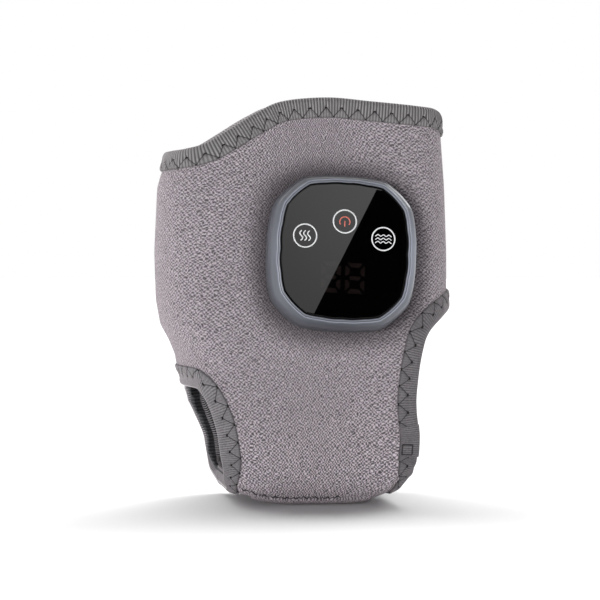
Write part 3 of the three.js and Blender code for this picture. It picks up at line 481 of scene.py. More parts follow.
def moulded_finish(name, colour, roughness, grain, depth, spread, metallic=0.0, rim=False):
    """Moulded plastic, rubber or metal, with a fine grain and a slightly uneven gloss; with rim, painted highlights and
    painted shade from a map.
    """
    finish = Finish(name, roughness=roughness, metallic=metallic)
    grains = finish.noise(grain, 3, 0.6)
    cloud = finish.noise(55, 2, 0.5)
    tone = finish.mixed(cloud * 0.6 + grains * 0.4, shade(colour, 1 - spread), shade(colour, 1 + spread))
    if rim:
        # painted light from the map's first number: above zero a painted highlight on the ridges, below zero painted
        # shade in the grooves and the gap
        polish = finish.axis(0, finish.add("ShaderNodeUVMap", {"uv_map": "rim"}))
        tone = finish.mixed(polish.maths("MAXIMUM", polish, 0.0), tone, shade(colour, 1.9))
        tone = finish.mixed(polish.maths("MAXIMUM", polish * -1, 0.0), tone, shade(colour, 0.12))
    gloss = cloud * (roughness * 0.3) + roughness * 0.85
    return finish.set(Base_Color=tone, Roughness=gloss, Normal=finish.bump(grains, depth, 0.5)).material


def glass_finish(name, look):
    """The black touch panel: flat and glossy, with the faintest smears."""
    finish = Finish(name, roughness=0.01)
    smear = finish.noise(85, 3, 0.6).part(0.45, 0.8)
    tone = finish.mixed(finish.noise(400, 2), shade(look.glass, 0.8), shade(look.glass, 1.2))
    return finish.set(Base_Color=tone, Roughness=smear * 0.006 + 0.004).material


def hook_finish(name, colour):
    """Hook tape: close rows of tiny hooks."""
    finish = Finish(name, roughness=0.7, level=0.4)
    hooks = finish.cells(1500)
    height = 1 - hooks
    rows = (finish.axis(2) * (2 * math.pi / HOOK_ROW)).sine() * 0.5 + 0.5
    tone = finish.mixed(height.part(0.3, 0.9) * 0.7 + rows * 0.3, shade(colour, 0.4), shade(colour, 1.5))
    return finish.set(Base_Color=tone, Normal=finish.bump(height * 0.7 + rows * 0.3, 0.0006, 0.9)).material


# ---------------------------------------------------------------- meshes
MERGE = 1e-6
CLOTH_FRAMES = 20
CLOTH_PRESSURE = 4


def clear_selection():
    for other in bpy.context.selected_objects:
        other.select_set(False)


def made(name, points, faces, material, body="wrap", smooth=True):
    """A new piece from points and faces, riding on a body."""
    mesh = bpy.data.meshes.new(name)
    mesh.from_pydata([tuple(p) for p in points], [], [tuple(f) for f in faces])
    mesh.update()
    piece = bpy.data.objects.new(name, mesh)
    bpy.context.scene.collection.objects.link(piece)
    mesh.polygons.foreach_set("use_smooth", [smooth] * len(mesh.polygons))
    if material:
        mesh.materials.append(material)
    if body:
        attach(piece, body)
    return piece


def chosen(piece):
    """Makes a piece the one that the next operators work on."""
    clear_selection()
    bpy.context.view_layer.objects.active = piece
    piece.select_set(True)


def in_edit_mode(piece, *steps):
    """Runs edit-mode steps on all of a piece."""
    chosen(piece)
    bpy.ops.object.mode_set(mode="EDIT")
    bpy.ops.mesh.select_all(action="SELECT")
    for step in steps:
        step()
    bpy.ops.object.mode_set(mode="OBJECT")


def turned_outward():
    bpy.ops.mesh.normals_make_consistent(inside=False)


def copy_of(node, name):
    """A merged copy of a solid from the frame."""
    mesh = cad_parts[node].data.copy()
    mesh.name = name
    mesh.materials.clear()
    for layer in list(mesh.uv_layers):
        mesh.uv_layers.remove(layer)
    piece = bpy.data.objects.new(name, mesh)
    bpy.context.scene.collection.objects.link(piece)
    in_edit_mode(piece, lambda: bpy.ops.mesh.remove_doubles(threshold=MERGE))
    if mesh.has_custom_normals:
        bpy.ops.mesh.customdata_custom_splitnormals_clear()
    piece.select_set(False)
    return piece


def apply_modifier(piece, kind, **settings):
    """Adds a modifier with its settings and applies it."""
    chosen(piece)
    modifier = piece.modifiers.new(kind.title(), kind)
    for key, value in settings.items():
        setattr(modifier, key, value)
    bpy.ops.object.modifier_apply(modifier=modifier.name)
    piece.select_set(False)


def placed(points, place):
    """Points carried along with a place."""
    points = np.array(points, float)
    return (np.hstack([points, np.ones((len(points), 1))]) @ np.array(place).T)[:, :3]


def subdivided(piece):
    apply_modifier(piece, "SUBSURF", levels=1, render_levels=1)
    smooth_faces(piece)


def read(items, key, width=1, kind=int):
    """One property of all of a mesh's points, edges, corners or faces."""
    values = np.zeros(len(items) * width, kind)
    items.foreach_get(key, values)
    return values.reshape(-1, width) if width > 1 else values


def coordinates(piece):
    return read(piece.data.vertices, "co", 3, float)


def set_coordinates(piece, points):
    piece.data.vertices.foreach_set("co", np.asarray(points, float).ravel())
    piece.data.update()


def smooth_faces(piece):
    piece.data.polygons.foreach_set("use_smooth", [True] * len(piece.data.polygons))


def smooth_by_angle(piece, degrees):
    """Smooth faces, apart from edges sharper than an angle."""
    chosen(piece)
    bpy.ops.object.shade_smooth_by_angle(angle=math.radians(degrees))
    piece.select_set(False)


def set_map(piece, name, u, v):
    """Two numbers on each corner of a piece's faces."""
    piece.data.uv_layers.new(name=name).data.foreach_set("uv", np.stack([u, v], axis=1).ravel())


def neighbours(piece):
    return read(piece.data.edges, "vertices", 2)


def evened(values, edges, rounds):
    """Values blended with those of the points beside them."""
    values = np.array(values, float)
    shape = (-1,) + (1,) * (values.ndim - 1)
    count = np.bincount(edges.ravel(), minlength=len(values)).reshape(shape)
    for _ in range(rounds):
        total = np.zeros_like(values)
        np.add.at(total, edges[:, 0], values[edges[:, 1]])
        np.add.at(total, edges[:, 1], values[edges[:, 0]])
        values = (values + total / np.maximum(count, 1)) / 2
    return values


def blown_up(piece, held):
    """Cloth with air in it: the points that are held stay, and the rest swell. Gives the swollen points."""
    group = piece.vertex_groups.new(name="held")
    group.add([int(k) for k in np.flatnonzero(held)], 1.0, "REPLACE")
    clear_selection()
    bpy.context.view_layer.objects.active = piece
    cloth = piece.modifiers.new("Cloth", "CLOTH")
    settings = cloth.settings
    settings.quality = 4
    settings.mass = 0.2
    settings.vertex_group_mass = "held"
    settings.use_pressure = True
    settings.uniform_pressure_force = CLOTH_PRESSURE
    settings.effector_weights.gravity = 0
    cloth.collision_settings.use_collision = False
    cloth.point_cache.frame_start = 1
    cloth.point_cache.frame_end = CLOTH_FRAMES
    for step in range(1, CLOTH_FRAMES + 1):
        bpy.context.scene.frame_set(step)
    ready = piece.evaluated_get(bpy.context.evaluated_depsgraph_get())
    points = coordinates(ready)
    piece.modifiers.remove(cloth)
    piece.vertex_groups.clear()
    bpy.context.scene.frame_set(1)
    return points


def padded_skin(piece, face, back, held, swell):
    """Lays a remeshed layer on its two levels, swells its outer side by cloth, and caps how far that moves."""
    points = coordinates(piece)
    off = outside_by(points)
    middle = (face + back) / 2
    near = np.abs(face - back) * 0.3
    lift = np.where(off > face - near, face, np.where(off < back + near, back, off))
    points, normal = laid_on(points, lift)
    set_coordinates(piece, points)
    held = held | (off < middle)
    edges = neighbours(piece)
    moved = blown_up(piece, held)
    grown = np.where(held, 0.0, np.maximum(np.einsum("ij,ij->i", moved - points, normal), 0))
    rise = swell * (1 - np.exp(-grown / np.maximum(swell, 1e-5)))
    rise = evened(rise, edges, 4)
    set_coordinates(piece, points + normal * rise[:, None])
    subdivided(piece)


def near_lines(points, lines):
    """How far each point is from the nearest of some lines."""
    every = np.vstack(lines)
    tree = KDTree(len(every))
    for k, point in enumerate(every):
        tree.insert(point, k)
    tree.balance()
    return np.array([tree.find(point)[2] for point in points])


def quads(tall, wide, ring_up=False, ring_across=False, turned=False):
    """The four-sided faces of a grid of points, row by row, joined round in either direction if asked."""
    faces = []
    for row in range(tall if ring_up else tall - 1):
        up = ((row + 1) % tall) * wide
        for k in range(wide if ring_across else wide - 1):
            a, b, c, d = row * wide + k, row * wide + (k + 1) % wide, up + (k + 1) % wide, up + k
            faces.append((a, d, c, b) if turned else (a, b, c, d))
    return faces


def tube(line, thickness, sides=6):
    """Points and faces of a round thread along a line, with closed ends."""
    line = np.asarray(line, float)
    along = np.gradient(line, axis=0)
    along /= np.maximum(np.linalg.norm(along, axis=1, keepdims=True), 1e-9)
    side = np.cross(along, np.array([0.31, 0.57, 0.76]))
    side /= np.maximum(np.linalg.norm(side, axis=1, keepdims=True), 1e-9)
    up = np.cross(side, along)
    turns = np.arange(sides) * 2 * math.pi / sides
    reach = np.broadcast_to(np.asarray(thickness, float).reshape(-1, 1, 1) / 2, (len(line), 1, 1))
    round_it = np.cos(turns)[None, :, None] * side[:, None, :] + np.sin(turns)[None, :, None] * up[:, None, :]
    points = (line[:, None, :] + reach * round_it).reshape(-1, 3)
    ends = [tuple(range(sides))[::-1], tuple(range((len(line) - 1) * sides, len(line) * sides))]
    return points, quads(len(line), sides, ring_across=True) + ends


class Bundle:
    """Points and faces of many small parts, gathered into one mesh."""

    def __init__(self):
        self.points = []
        self.faces = []
        self.count = 0

    def put(self, points, faces):
        self.points.append(np.asarray(points))
        self.faces += [tuple(k + self.count for k in face) for face in faces]
        self.count += len(points)

    def made(self, name, material, body="wrap"):
        return made(name, np.vstack(self.points), self.faces, material, body)


# ---------------------------------------------------------------- edge tape
# the tape's outer side, in mm: the distance from its edge and the height at each
ARM = [9.62, 9.5, 9.25, 8.9, 8.4, 7.8, 7.2, 6.6, 6.0, 5.4, 4.9, 4.4, 3.8, 3.2, 2.6, 2.0, 1.4, 0.9, 0.5, 0.2]
ARM_LIFT = [
    0.1, 0.62, 0.95, 1.12, 1.22, 1.28, 1.32, 1.34, 1.35, 1.36,
    1.36, 1.37, 1.38, 1.38, 1.36, 1.3, 1.16, 0.92, 0.55, 0.05,
]
# rows across the tape, marched over the sleeve from its edge into the fabric
TAPE_ROWS = (-1.2, 0, 1.2, 2.4, 3.6, 4.8, 6.0, 7.2, 8.4, 9.7)
RIB_PITCH = 0.00102
GROOVE, GROOVE_WIDTH = 0.0003, 0.0007
OUTER_HOLE, OUTER_HOLE_WIDTH = 0.0007, 0.0007
INNER_HOLE, INNER_HOLE_WIDTH = 0.0006, 0.0011
GATHER, GATHER_WIDTH = 0.0003, 0.0022
FOLD_SWELL, FOLD_SWELL_AT, FOLD_SWELL_WIDTH = 0.00018, 0.0026, 0.0016
UNDER_RIB = 0.00008
# the tape's own thickness, and where its two inner corners begin
TAPE_WALL, WALL_CORNER = 0.00125, 0.0022
KNOT_LIFT, KNOT_WIDE, KNOT_SIZE = 0.00042, 0.0004, 0.00045


def mm(*values):
    return [value / 1000 for value in values]


def dent(away, depth, width):
    """The depth of a round-bottomed dent at a distance from its middle."""
    return depth * np.exp(-((away / width) ** 2))


class Tape:
    """A tape folded over a fabric edge: its line on the sleeve, and where its face is at any place."""

    def __init__(
        self, loop, into, look, top=TAPE_TOP, foot=TAPE_FOOT,
        closed=True, stitched=True, ends=0.0, rib=0.00003, pitches=None, narrow=None,
    ):
        self.loop = loop
        self.closed = closed
        self.look = look
        self.top = top  # how far the tape's outer face lies above the sleeve's face
        self.foot = foot  # how far its inner face lies below
        self.stitched = stitched
        self.ends = ends
        self.rib = rib
        self.rib_pitch, stitch = pitches or (RIB_PITCH, look.stitch_pitch)
        self.share = narrow(loop[:, 2]) if narrow else np.ones(len(loop))
        along = np.roll(loop, -1, axis=0) - np.roll(loop, 1, axis=0)
        if not closed:
            along = np.gradient(loop, axis=0)
        along /= np.linalg.norm(along, axis=1, keepdims=True)
        normal, _ = outward(loop)
        inward = np.cross(normal, along)
        inward /= np.linalg.norm(inward, axis=1, keepdims=True)
        if (inward * np.array(into)).sum() < 0:
            inward = -inward
        steps = np.linalg.norm(np.diff(np.vstack([loop, loop[:1]]), axis=0), axis=1)
        self.run = np.concatenate([[0], np.cumsum(steps)])[: len(loop)]
        self.length = steps.sum() if closed else self.run[-1]
        self.pitches = max(2, round(self.length / stitch))
        self.pitch = self.length / self.pitches
        self.rows = np.array(mm(*TAPE_ROWS))
        at = {0.0: (loop, normal)}
        base, facing, way = loop, normal, inward
        for before, here in zip(self.rows[1:], self.rows[2:]):
            base, facing = laid_on(base + way * (here - before), 0)
            across = np.cross(facing, along)
            across /= np.linalg.norm(across, axis=1, keepdims=True)
            across *= np.sign(np.einsum("ij,ij->i", across, way))[:, None]
            way = across
            at[here] = (base, facing)
        at[self.rows[0]] = (loop - inward * 0.0012, normal)
        self.bases = np.stack([at[row][0] for row in self.rows])
        self.facings = np.stack([at[row][1] for row in self.rows])

    def spot(self, which, across, lift):
        """Places: which column of the line, how far across from the edge, and how high above the sleeve."""
        column = np.floor(which).astype(int)
        part = (which - column)[:, None]
        count = len(self.loop)
        first = column % count if self.closed else np.clip(column, 0, count - 1)
        second = (column + 1) % count if self.closed else np.clip(column + 1, 0, count - 1)
        across = np.broadcast_to(across, which.shape)
        across = np.where(across > 0, across * self.share[first], across)
        at = np.clip(np.searchsorted(self.rows, across) - 1, 0, len(self.rows) - 2)
        share = (across - self.rows[at]) / (self.rows[at + 1] - self.rows[at])

        def between(table):
            low = table[at, first] * (1 - part) + table[at, second] * part
            high = table[at + 1, first] * (1 - part) + table[at + 1, second] * part
            return low * (1 - share[:, None]) + high * share[:, None]

        facing = between(self.facings)
        facing /= np.linalg.norm(facing, axis=1, keepdims=True)
        return between(self.bases) + facing * np.asarray(lift).reshape(-1, 1)

    def relief(self, run, across):
        """Ribs, gathers between the stitches, and the dips that the thread pulls, above a flat tape."""
        look = self.look
        ribs = self.rib * np.cos(2 * math.pi * run / self.rib_pitch)
        ribs = ribs * np.clip((0.0082 - across) / 0.004, 0.25, 1)
        if not self.stitched:
            return ribs
        phase = (run / self.pitch) % 1
        fold = np.abs(phase - 0.5) * 2  # 0 at the outer needle hole, 1 at the inner one
        line = look.stitch_outer + (look.stitch_inner - look.stitch_outer) * fold
        slant = (look.stitch_inner - look.stitch_outer) / (self.pitch / 2)
        gap = (across - line) / math.hypot(1, slant)
        to_outer = np.hypot((phase - 0.5) * self.pitch, across - look.stitch_outer)
        beside = np.minimum(phase, 1 - phase) * self.pitch
        to_inner = np.hypot(beside, across - look.stitch_inner)
        inner = np.clip((across - line) / GATHER_WIDTH, 0, 1)
        puff = GATHER * np.sin(math.pi * inner) + dent(across - FOLD_SWELL_AT, FOLD_SWELL, FOLD_SWELL_WIDTH)
        holes = -dent(to_outer, OUTER_HOLE, OUTER_HOLE_WIDTH) - dent(to_inner, INNER_HOLE, INNER_HOLE_WIDTH)
        return ribs - dent(gap, GROOVE, GROOVE_WIDTH) + holes + puff

    def top_at(self, run, across):
        """Height of the tape's outer face above the sleeve."""
        base = np.interp(across * 1000, ARM[::-1], ARM_LIFT[::-1]) / 1000 - TAPE_TOP + self.top
        return base + self.relief(run, across)

    def profile(self):
        """The folded tape's section, as places across and heights; no height where the outer side gives its own."""
        outer = [(b, None) for b in mm(*ARM)]
        deep = -self.foot
        web = [(-0.0001, self.top - 0.0026), (-0.00015, (self.top + deep) / 2), (-0.0001, deep + 0.0014)]
        curl = [(0.0001, deep + 0.0006), (0.0005, deep + 0.00015), (0.0011, deep)]
        under = [(0.003, deep), (0.006, deep), (0.0088, deep + 0.0002), (0.0093, deep + 0.0004), (0.0096, deep + 0.001)]
        inside = [
            (0.0095, deep + TAPE_WALL),
            (0.0014, deep + TAPE_WALL),
            (0.0011, deep + WALL_CORNER),
            (0.0011, self.top - WALL_CORNER),
            (0.0014, self.top - TAPE_WALL),
            (0.0094, self.top - TAPE_WALL),
        ]
        return outer + web + curl + under + inside

    def sewn(self, name, material, body="wrap"):
        """The folded tape as a closed mesh, with its map in metres along and across."""
        deep = -self.foot
        columns = np.arange(len(self.loop), dtype=float)
        rows = []
        around = []
        last = None
        for across, lift in self.profile():
            run = self.run
            width = np.full(len(columns), across)
            if lift is None:
                height = self.top_at(run, width)
                here = (across, self.top)
            else:
                ribbed = deep + 0.002 > lift and across < 0.0094 and lift < 0
                ribs = UNDER_RIB * np.cos(2 * math.pi * run / self.rib_pitch)
                height = np.full(len(columns), lift) - (ribs if ribbed else 0)
                here = (across, lift)
            if self.ends:
                taper = np.minimum(self.run, self.length - self.run) / self.ends
                taper = np.sqrt(np.clip(taper, 0.02, 1))
                centre = (self.top + deep) / 2
                height = centre + (height - centre) * (0.75 + 0.25 * taper)
            rows.append(self.spot(columns, width, height))
            # the map's second number is the distance from the edge, and goes on below zero round the fold
            around.append(across if lift is None else around[-1] - math.dist(here, last))
            last = here
        points = np.stack(rows)
        tall, wide = points.shape[:2]
        faces = quads(tall, wide, ring_up=True, ring_across=self.closed)
        if not self.closed:
            faces.append(tuple(row * wide for row in range(tall)))
            faces.append(tuple(row * wide + wide - 1 for row in range(tall))[::-1])
        piece = made(name, points.reshape(-1, 3), faces, material, body)
        row, column = np.divmod(read(piece.data.loops, "vertex_index"), wide)
        u = self.run[column].copy()
        if self.closed:
            totals = read(piece.data.polygons, "loop_total")
            owner = np.repeat(np.arange(len(totals)), totals)
            high = np.zeros(len(totals))
            np.maximum.at(high, owner, u)
            u = np.where(high[owner] - u > self.length / 2, u + self.length, u)
        set_map(piece, "tape", u, np.array(around)[row])
        return recalculated(piece)

    def thread(self, bundle, knots, slip=KNOT_SIZE, tall=KNOT_SIZE):
        """Zigzag thread over the tape, and knots of darker thread at its needle holes, whose darkness is painted shade
        of the holes.
        """
        look = self.look
        step = self.length / len(self.loop) if self.closed else self.length / (len(self.loop) - 1)
        half = look.thread / 2
        for k in range(self.pitches * 2):
            first, second = k * self.pitch / 2, (k + 1) * self.pitch / 2
            ends = [look.stitch_inner, look.stitch_outer]
            if k % 2:
                ends.reverse()
            share = np.linspace(0, 1, 11)
            run = first + (second - first) * share
            across = ends[0] + (ends[1] - ends[0]) * share
            height = self.top_at(run, across) + half * 0.8
            line = self.spot(run / step, across, height)
            bundle.put(*tube(line, look.thread, 6))
            outer = k % 2 == 1
            wide = slip if outer else KNOT_WIDE
            spread = np.array([-1.0, -0.8, -0.4, 0.0, 0.4, 0.8, 1.0])
            run = first + spread * (wide + tall / 2)
            across = ends[0] + (np.abs(spread) * (wide - KNOT_SIZE) * 0.5 if outer else 0)
            across = np.broadcast_to(across, run.shape)
            height = self.top_at(np.full(len(run), first), np.full(len(run), ends[0])) + KNOT_LIFT
            line = self.spot(run / step, across, height)
            girth = np.sqrt(np.clip(1 - spread**6, 0.01, 1)) * (tall * 2 if outer else tall * 1.5)
            knots.put(*tube(line, girth, 8))


def recalculated(piece):
    """Turns a closed mesh's faces outwards and keeps its map."""
    in_edit_mode(piece, turned_outward)
    piece.select_set(False)
    return piece


# ---------------------------------------------------------------- what a user may change
def size(name, text, default, **more):
    return bpy.props.FloatProperty(name=name, description=text, default=default, unit="LENGTH", precision=5, **more)


def share(name, text, default):
    return bpy.props.FloatProperty(name=name, description=text, default=default, min=0, max=10, subtype="FACTOR")


def colour(name, text, red, green, blue):
    return bpy.props.FloatVectorProperty(
        name=name,
        description=text,
        default=(red / 255, green / 255, blue / 255),
        min=0,
        max=1,
        size=3,
        subtype="COLOR_GAMMA",
    )


class WrapSizes(bpy.types.PropertyGroup):
    """Sizes of the soft goods."""

    plush_swell: size("Plush swell", "How far the plush stands up between its bound edges", 0.0012)
    side_swell: size("Side swell", "How far the plush stands up at the two folded sides", 0.0003)
    lining_swell: size("Lining swell", "How far the lining stands into the wrap", 0.0006)
    flap_swell: size("Flap swell", "How far the closure flap swells", 0.0011)
    rib_pitch: size("Rib pitch", "Distance between the top tape's ribs", 0.00138)
    stitch_pitch: size("Stitch pitch", "Length of one zigzag of the binding stitch", 0.0072)
    stitch_outer: size("Outer stitch", "Distance of the outer needle holes from the edge", 0.005)
    stitch_inner: size("Inner stitch", "Distance of the inner needle holes from the edge", 0.0092)
    tuft_width: size("Tuft width", "Distance of the pile's rows", 0.00145)
    tuft_height: size("Tuft height", "Distance of the tufts in a row", 0.0017)
    # painted shade: how far from the module the painted halo of shade on the pile reaches
    press_reach: size("Pressed reach", "How far from the module the pile is pressed", 0.012)
    thread: size("Thread", "Thickness of the sewing thread", 0.00032)
    icon_line: size("Icon line", "Width of the lines of the touch signs", 0.0006)
    ring: size("Ring", "Outer diameter of the rings round the touch signs", 0.0109)


class WrapColours(bpy.types.PropertyGroup):
    """Colours of the visible finishes."""

    plush: colour("Plush", "Velour of the outside", 156, 148, 154)
    plush_depth: share("Pile depth", "How much darker the gaps between the tufts are", 0.5)
    # painted shade: how dark the painted halo of shade on the pile round the module is
    press: share("Pressed pile", "How much the pile darkens against the module", 0.76)
    plush_rim: colour("Pile rim", "Tint of the pile where it is seen from the side", 235, 222, 226)
    plush_sheen: share("Pile sheen", "How much the pile brightens where it is seen from the side", 0.35)
    lining: colour("Lining", "Knit of the inside", 66, 66, 69)
    top_tape: colour("Top tape", "Tape of the top edge", 123, 121, 122)
    heel_tape: colour("Heel tape", "Tape of the heel opening", 128, 125, 128)
    foot_tape: colour("Foot tape", "Tape of the foot opening", 110, 107, 110)
    thread_colour: colour("Thread", "Thread of the binding stitches", 52, 49, 52)
    # painted shade: the knots' thread is darker than the seam thread, for the shade in the needle holes
    knots: colour("Knots", "Thread pressed into the needle holes", 26, 23, 25)
    case: colour("Case", "Satin plastic of the module", 103, 106, 115)
    glass: colour("Glass", "Black of the touch panel", 2, 2, 2)
    sign: colour("Signs", "Printed rings and waves", 235, 236, 238)
    power: colour("Power sign", "Printed power sign", 216, 112, 96)
    digits: colour("Digits", "Unlit digit segments", 21, 16, 15)


class Look:
    """All sizes and colours by name, as plain numbers."""

    def __init__(self):
        scene = bpy.context.scene
        for group in (scene.wrap_sizes, scene.wrap_colours):
            for key in group.__annotations__:
                value = getattr(group, key)
                setattr(self, key, tuple(value) if hasattr(value, "__len__") else value)


# ---------------------------------------------------------------- camera, floor and lamps
PICTURE = 600
SENSOR = 36
LENS = 155.5
CAMERA_TURN = math.radians(-7.5)
CAMERA_RISE = math.radians(1.3)
CAMERA_REACH = 1.2
TARGET = Vector((0, 0, 0.0919))
SOFT_LIGHT = 0.06
# each lamp's name, place, strength, and width in degrees; the last one lights the floor alone
LAMPS = (
    ("sky_lamp", (0.04, 0.85, 1.5), 0.95, 46),
    ("front_lamp", (-0.8, -1.4, 0.16), 2.3, 20),
    ("fill_lamp", (1.2, -1.0, 0.16), 0.14, 20),
    ("rim_lamp_left", (-0.95, 1.02, 1.15), 1.3, 40),
    ("rim_lamp_right", (0.95, 1.02, 1.15), 1.9, 40),
    ("floor_lamp", (0.02, 0.95, 1.35), 2.1, 56),
)
# where the picture shows the sheen's slanted edge on the touch panel, and a point on its bright side
SHEEN_UPPER = (376.6, 189.6)
SHEEN_LOWER = (313.3, 315.0)
SHEEN_INSIDE = (300.0, 240.0)
SHEEN_STRENGTH = 1.84
CARD_REACH = 0.8
CARD_WIDTH = 0.5
CARD_SPARE = 0.2
FLOOR_RADIUS = 7
FLOOR_LEVEL = -0.0002
FLOOR_GLOW = 0.02


def camera_seat():
    low = math.cos(CAMERA_RISE)
    back = Vector((math.sin(CAMERA_TURN) * low, -math.cos(CAMERA_TURN) * low, math.sin(CAMERA_RISE)))
    return TARGET + back * CAMERA_REACH


def facing(place, target):
    """The turn that looks from a place to a target."""
    return (Vector(target) - Vector(place)).to_track_quat("-Z", "Y").to_euler()


def set_up(name, data, place):
    """A camera or lamp in its place, turned to the object."""
    holder = bpy.data.objects.new(name, data)
    bpy.context.scene.collection.objects.link(holder)
    holder.location = place
    holder.rotation_euler = facing(place, TARGET)
    return holder


def set_camera():
    lens = bpy.data.cameras.new("photo_camera")
    lens.lens = LENS
    lens.sensor_width = SENSOR
    bpy.context.scene.camera = set_up("photo_camera", lens, camera_seat())


def set_world():
    """White where it is looked at, mirrored or seen through, and a faint light on everything else."""
    world = bpy.data.worlds.new("studio")
    bpy.context.scene.world = world
    sky = Nodes(world)
    seen = 0.0
    for ray in ("Is Camera Ray", "Is Glossy Ray", "Is Transmission Ray"):
        way = sky.add("ShaderNodeLightPath", output=ray)
        seen = way.maths("MAXIMUM", seen, way)
    soft, white = (
        sky.add("ShaderNodeBackground", None, {"Color": (1, 1, 1, 1), "Strength": strength})
        for strength in (SOFT_LIGHT, 1.0)
    )
    mix = sky.add("ShaderNodeMixShader", None, {0: seen, 1: soft, 2: white})
    sky.add("ShaderNodeOutputWorld", None, {"Surface": mix})


def set_lamps():
    for name, place, strength, width in LAMPS:
        lamp = bpy.data.lights.new(name, "SUN")
        lamp.energy = strength
        lamp.angle = math.radians(width)
        set_up(name, lamp, place)


def kept_for_mirrors(piece, finish):
    """Keeps a card for reflections only."""
    piece.data.materials.append(finish.material)
    for ray in ("camera", "diffuse", "shadow", "transmission", "volume_scatter"):
        setattr(piece, "visible_" + ray, False)


def set_card():
    """The bright card that gives the touch panel its slanted sheen."""
    module, normal = module_place()
    into = (module @ Vector((0, 0, GLASS_TOP)) - camera_seat()).normalized()
    mirrored = into - 2 * into.dot(normal) * normal
    upper, lower, inner = (mirror_point(*spot, module, normal) for spot in (SHEEN_UPPER, SHEEN_LOWER, SHEEN_INSIDE))
    edge = (upper - lower).normalized()
    side = edge.cross(mirrored).normalized()
    if side.dot(inner - upper) < 0:
        side = -side
    rows = [upper + edge * CARD_SPARE, lower - edge * CARD_SPARE]
    corners = [list(place + side * reach) for place in rows for reach in (0, CARD_WIDTH)]
    card = made("mirror_card", corners, [(0, 1, 3, 2)], None, None, smooth=False)
    sheen = Finish("card_light", roughness=1.0, level=0.0)
    run, into_card = (
        sheen.axis(0) * way.x + sheen.axis(1) * way.y + sheen.axis(2) * way.z - lower.dot(way) for way in (edge, side)
    )
    bright = (run / (upper - lower).length).part(-0.2, 1.1) * 0.75 + (1 - into_card.part(0.0, 0.09)) * 0.25
    sheen.set(
        Base_Color=sheen.mixed(sheen.noise(3), (0, 0, 0), (0.01, 0.01, 0.01)),
        Emission_Color=sheen.mixed(bright, (0.74, 0.74, 0.74), (1, 1, 1)),
        Emission_Strength=SHEEN_STRENGTH,
    )
    kept_for_mirrors(card, sheen)


def set_flag():
    """The dark flag behind the camera."""
    bpy.ops.mesh.primitive_grid_add(
        x_subdivisions=4, y_subdivisions=4, size=3.2, location=(-0.1, -1.9, 0.4), rotation=(math.pi / 2, 0, 0)
    )
    flag = bpy.context.active_object
    flag.name = "dark_flag"
    felt = Finish("flag_felt", roughness=1.0, level=0.0)
    felt.set(Base_Color=felt.mixed(felt.noise(3), (0.0, 0.0, 0.0), (0.02, 0.02, 0.02)))
    kept_for_mirrors(flag, felt)


def set_floor():
    """The pale floor, with a lamp of its own and a little glow that keeps it white in the picture."""
    bpy.ops.mesh.primitive_circle_add(
        vertices=96, radius=FLOOR_RADIUS, fill_type="NGON", location=(0, 0, FLOOR_LEVEL)
    )
    floor = bpy.context.active_object
    floor.name = "floor"
    paper = Finish("floor_paper", roughness=0.9, level=0.1)
    paper.set(Base_Color=paper.mixed(paper.noise(14, 2), (0.93, 0.93, 0.93), (0.945, 0.945, 0.945)))
    seen = paper.add("ShaderNodeLightPath", output="Is Camera Ray")
    glow = paper.add("ShaderNodeEmission", None, {"Color": (FLOOR_GLOW,) * 3 + (1,), "Strength": seen})
    both = paper.add("ShaderNodeAddShader", None, {0: paper.surface, 1: glow})
    paper.fill(paper.end, {"Surface": both})
    floor.data.materials.append(paper.material)
    lit = bpy.data.collections.new("floor_only")
    lit.objects.link(floor)
    bpy.data.objects["floor_lamp"].light_linking.receiver_collection = lit


class WRAP_OT_stage(bpy.types.Operator):
    """Camera, pale floor, soft lamps and the card that the touch panel mirrors"""

    bl_idname = "ankle_wrap.stage"
    bl_label = "Camera, floor and lamps"

    def execute(self, context):
        context.scene.view_settings.view_transform = "Standard"
        set_camera()
        set_world()
        set_lamps()
        set_card()
        set_flag()
        set_floor()
        return {"FINISHED"}


def module_place():
    """The control module's place: its own X to the right, Y up and Z out of the sleeve; and that Z."""
    across, height = MODULE_PLACE
    slope = math.atan((ANKLE_HALF_DEPTH - TOP_HALF_DEPTH) / (SLEEVE_HEIGHT - ANKLE_HEIGHT))
    turn = (
        Matrix.Rotation(MODULE_YAW, 4, "Z")
        @ Matrix.Rotation(math.pi / 2 - slope, 4, "X")
        @ Matrix.Rotation(-MODULE_ROLL, 4, "Z")
    )
    normal = (turn.to_3x3() @ Vector((0, 0, 1))).normalized()
    # the touch panel's solid gives the level of its face
    glass = coordinates(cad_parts["touch_panel"])
    level = float((glass @ np.array(normal)).max()) - GLASS_TOP
    start = Vector((across, (level - across * normal.x - height * normal.z) / normal.y, height))
    return Matrix.Translation(start) @ turn, normal


def mirror_point(across, down, module, normal):
    """Where the view through a picture's point lands on the card, mirrored by the touch panel."""
    seat = camera_seat()
    turn = facing(seat, TARGET).to_matrix()
    half, scale = PICTURE / 2, PICTURE / SENSOR * LENS
    way = (turn @ Vector(((across - half) / scale, (half - down) / scale, -1))).normalized()
    face = module @ Vector((0, 0, GLASS_TOP))
    hit = seat + way * ((face - seat).dot(normal) / way.dot(normal))
    return hit + (way - 2 * way.dot(normal) * normal) * CARD_REACH


LOOP_STEP, TAPE_STEP, QUICK_STEP = 0.00036, 0.0004, 0.0012
PLUSH_GRID = 0.0023
LINING_GRID, QUICK_LINING_GRID = 0.0028, 0.0036
FLAP_GRID, QUICK_FLAP_GRID = 0.0011, 0.0016
HOOKS_GRID = 0.0005

# how near a tape's edge or the module's outline the plush and the lining are held down
PLUSH_BOUND, MODULE_BOUND = 0.0102, 0.0006
LINING_BOUND = 0.0185
# under the tapes the lining lies a little deeper, and elsewhere it waves
LINING_COVERED, LINING_TUCK = 0.0145, -0.0005
LINING_WAVE, LINING_WAVE_HEIGHT = 0.021, 0.00025

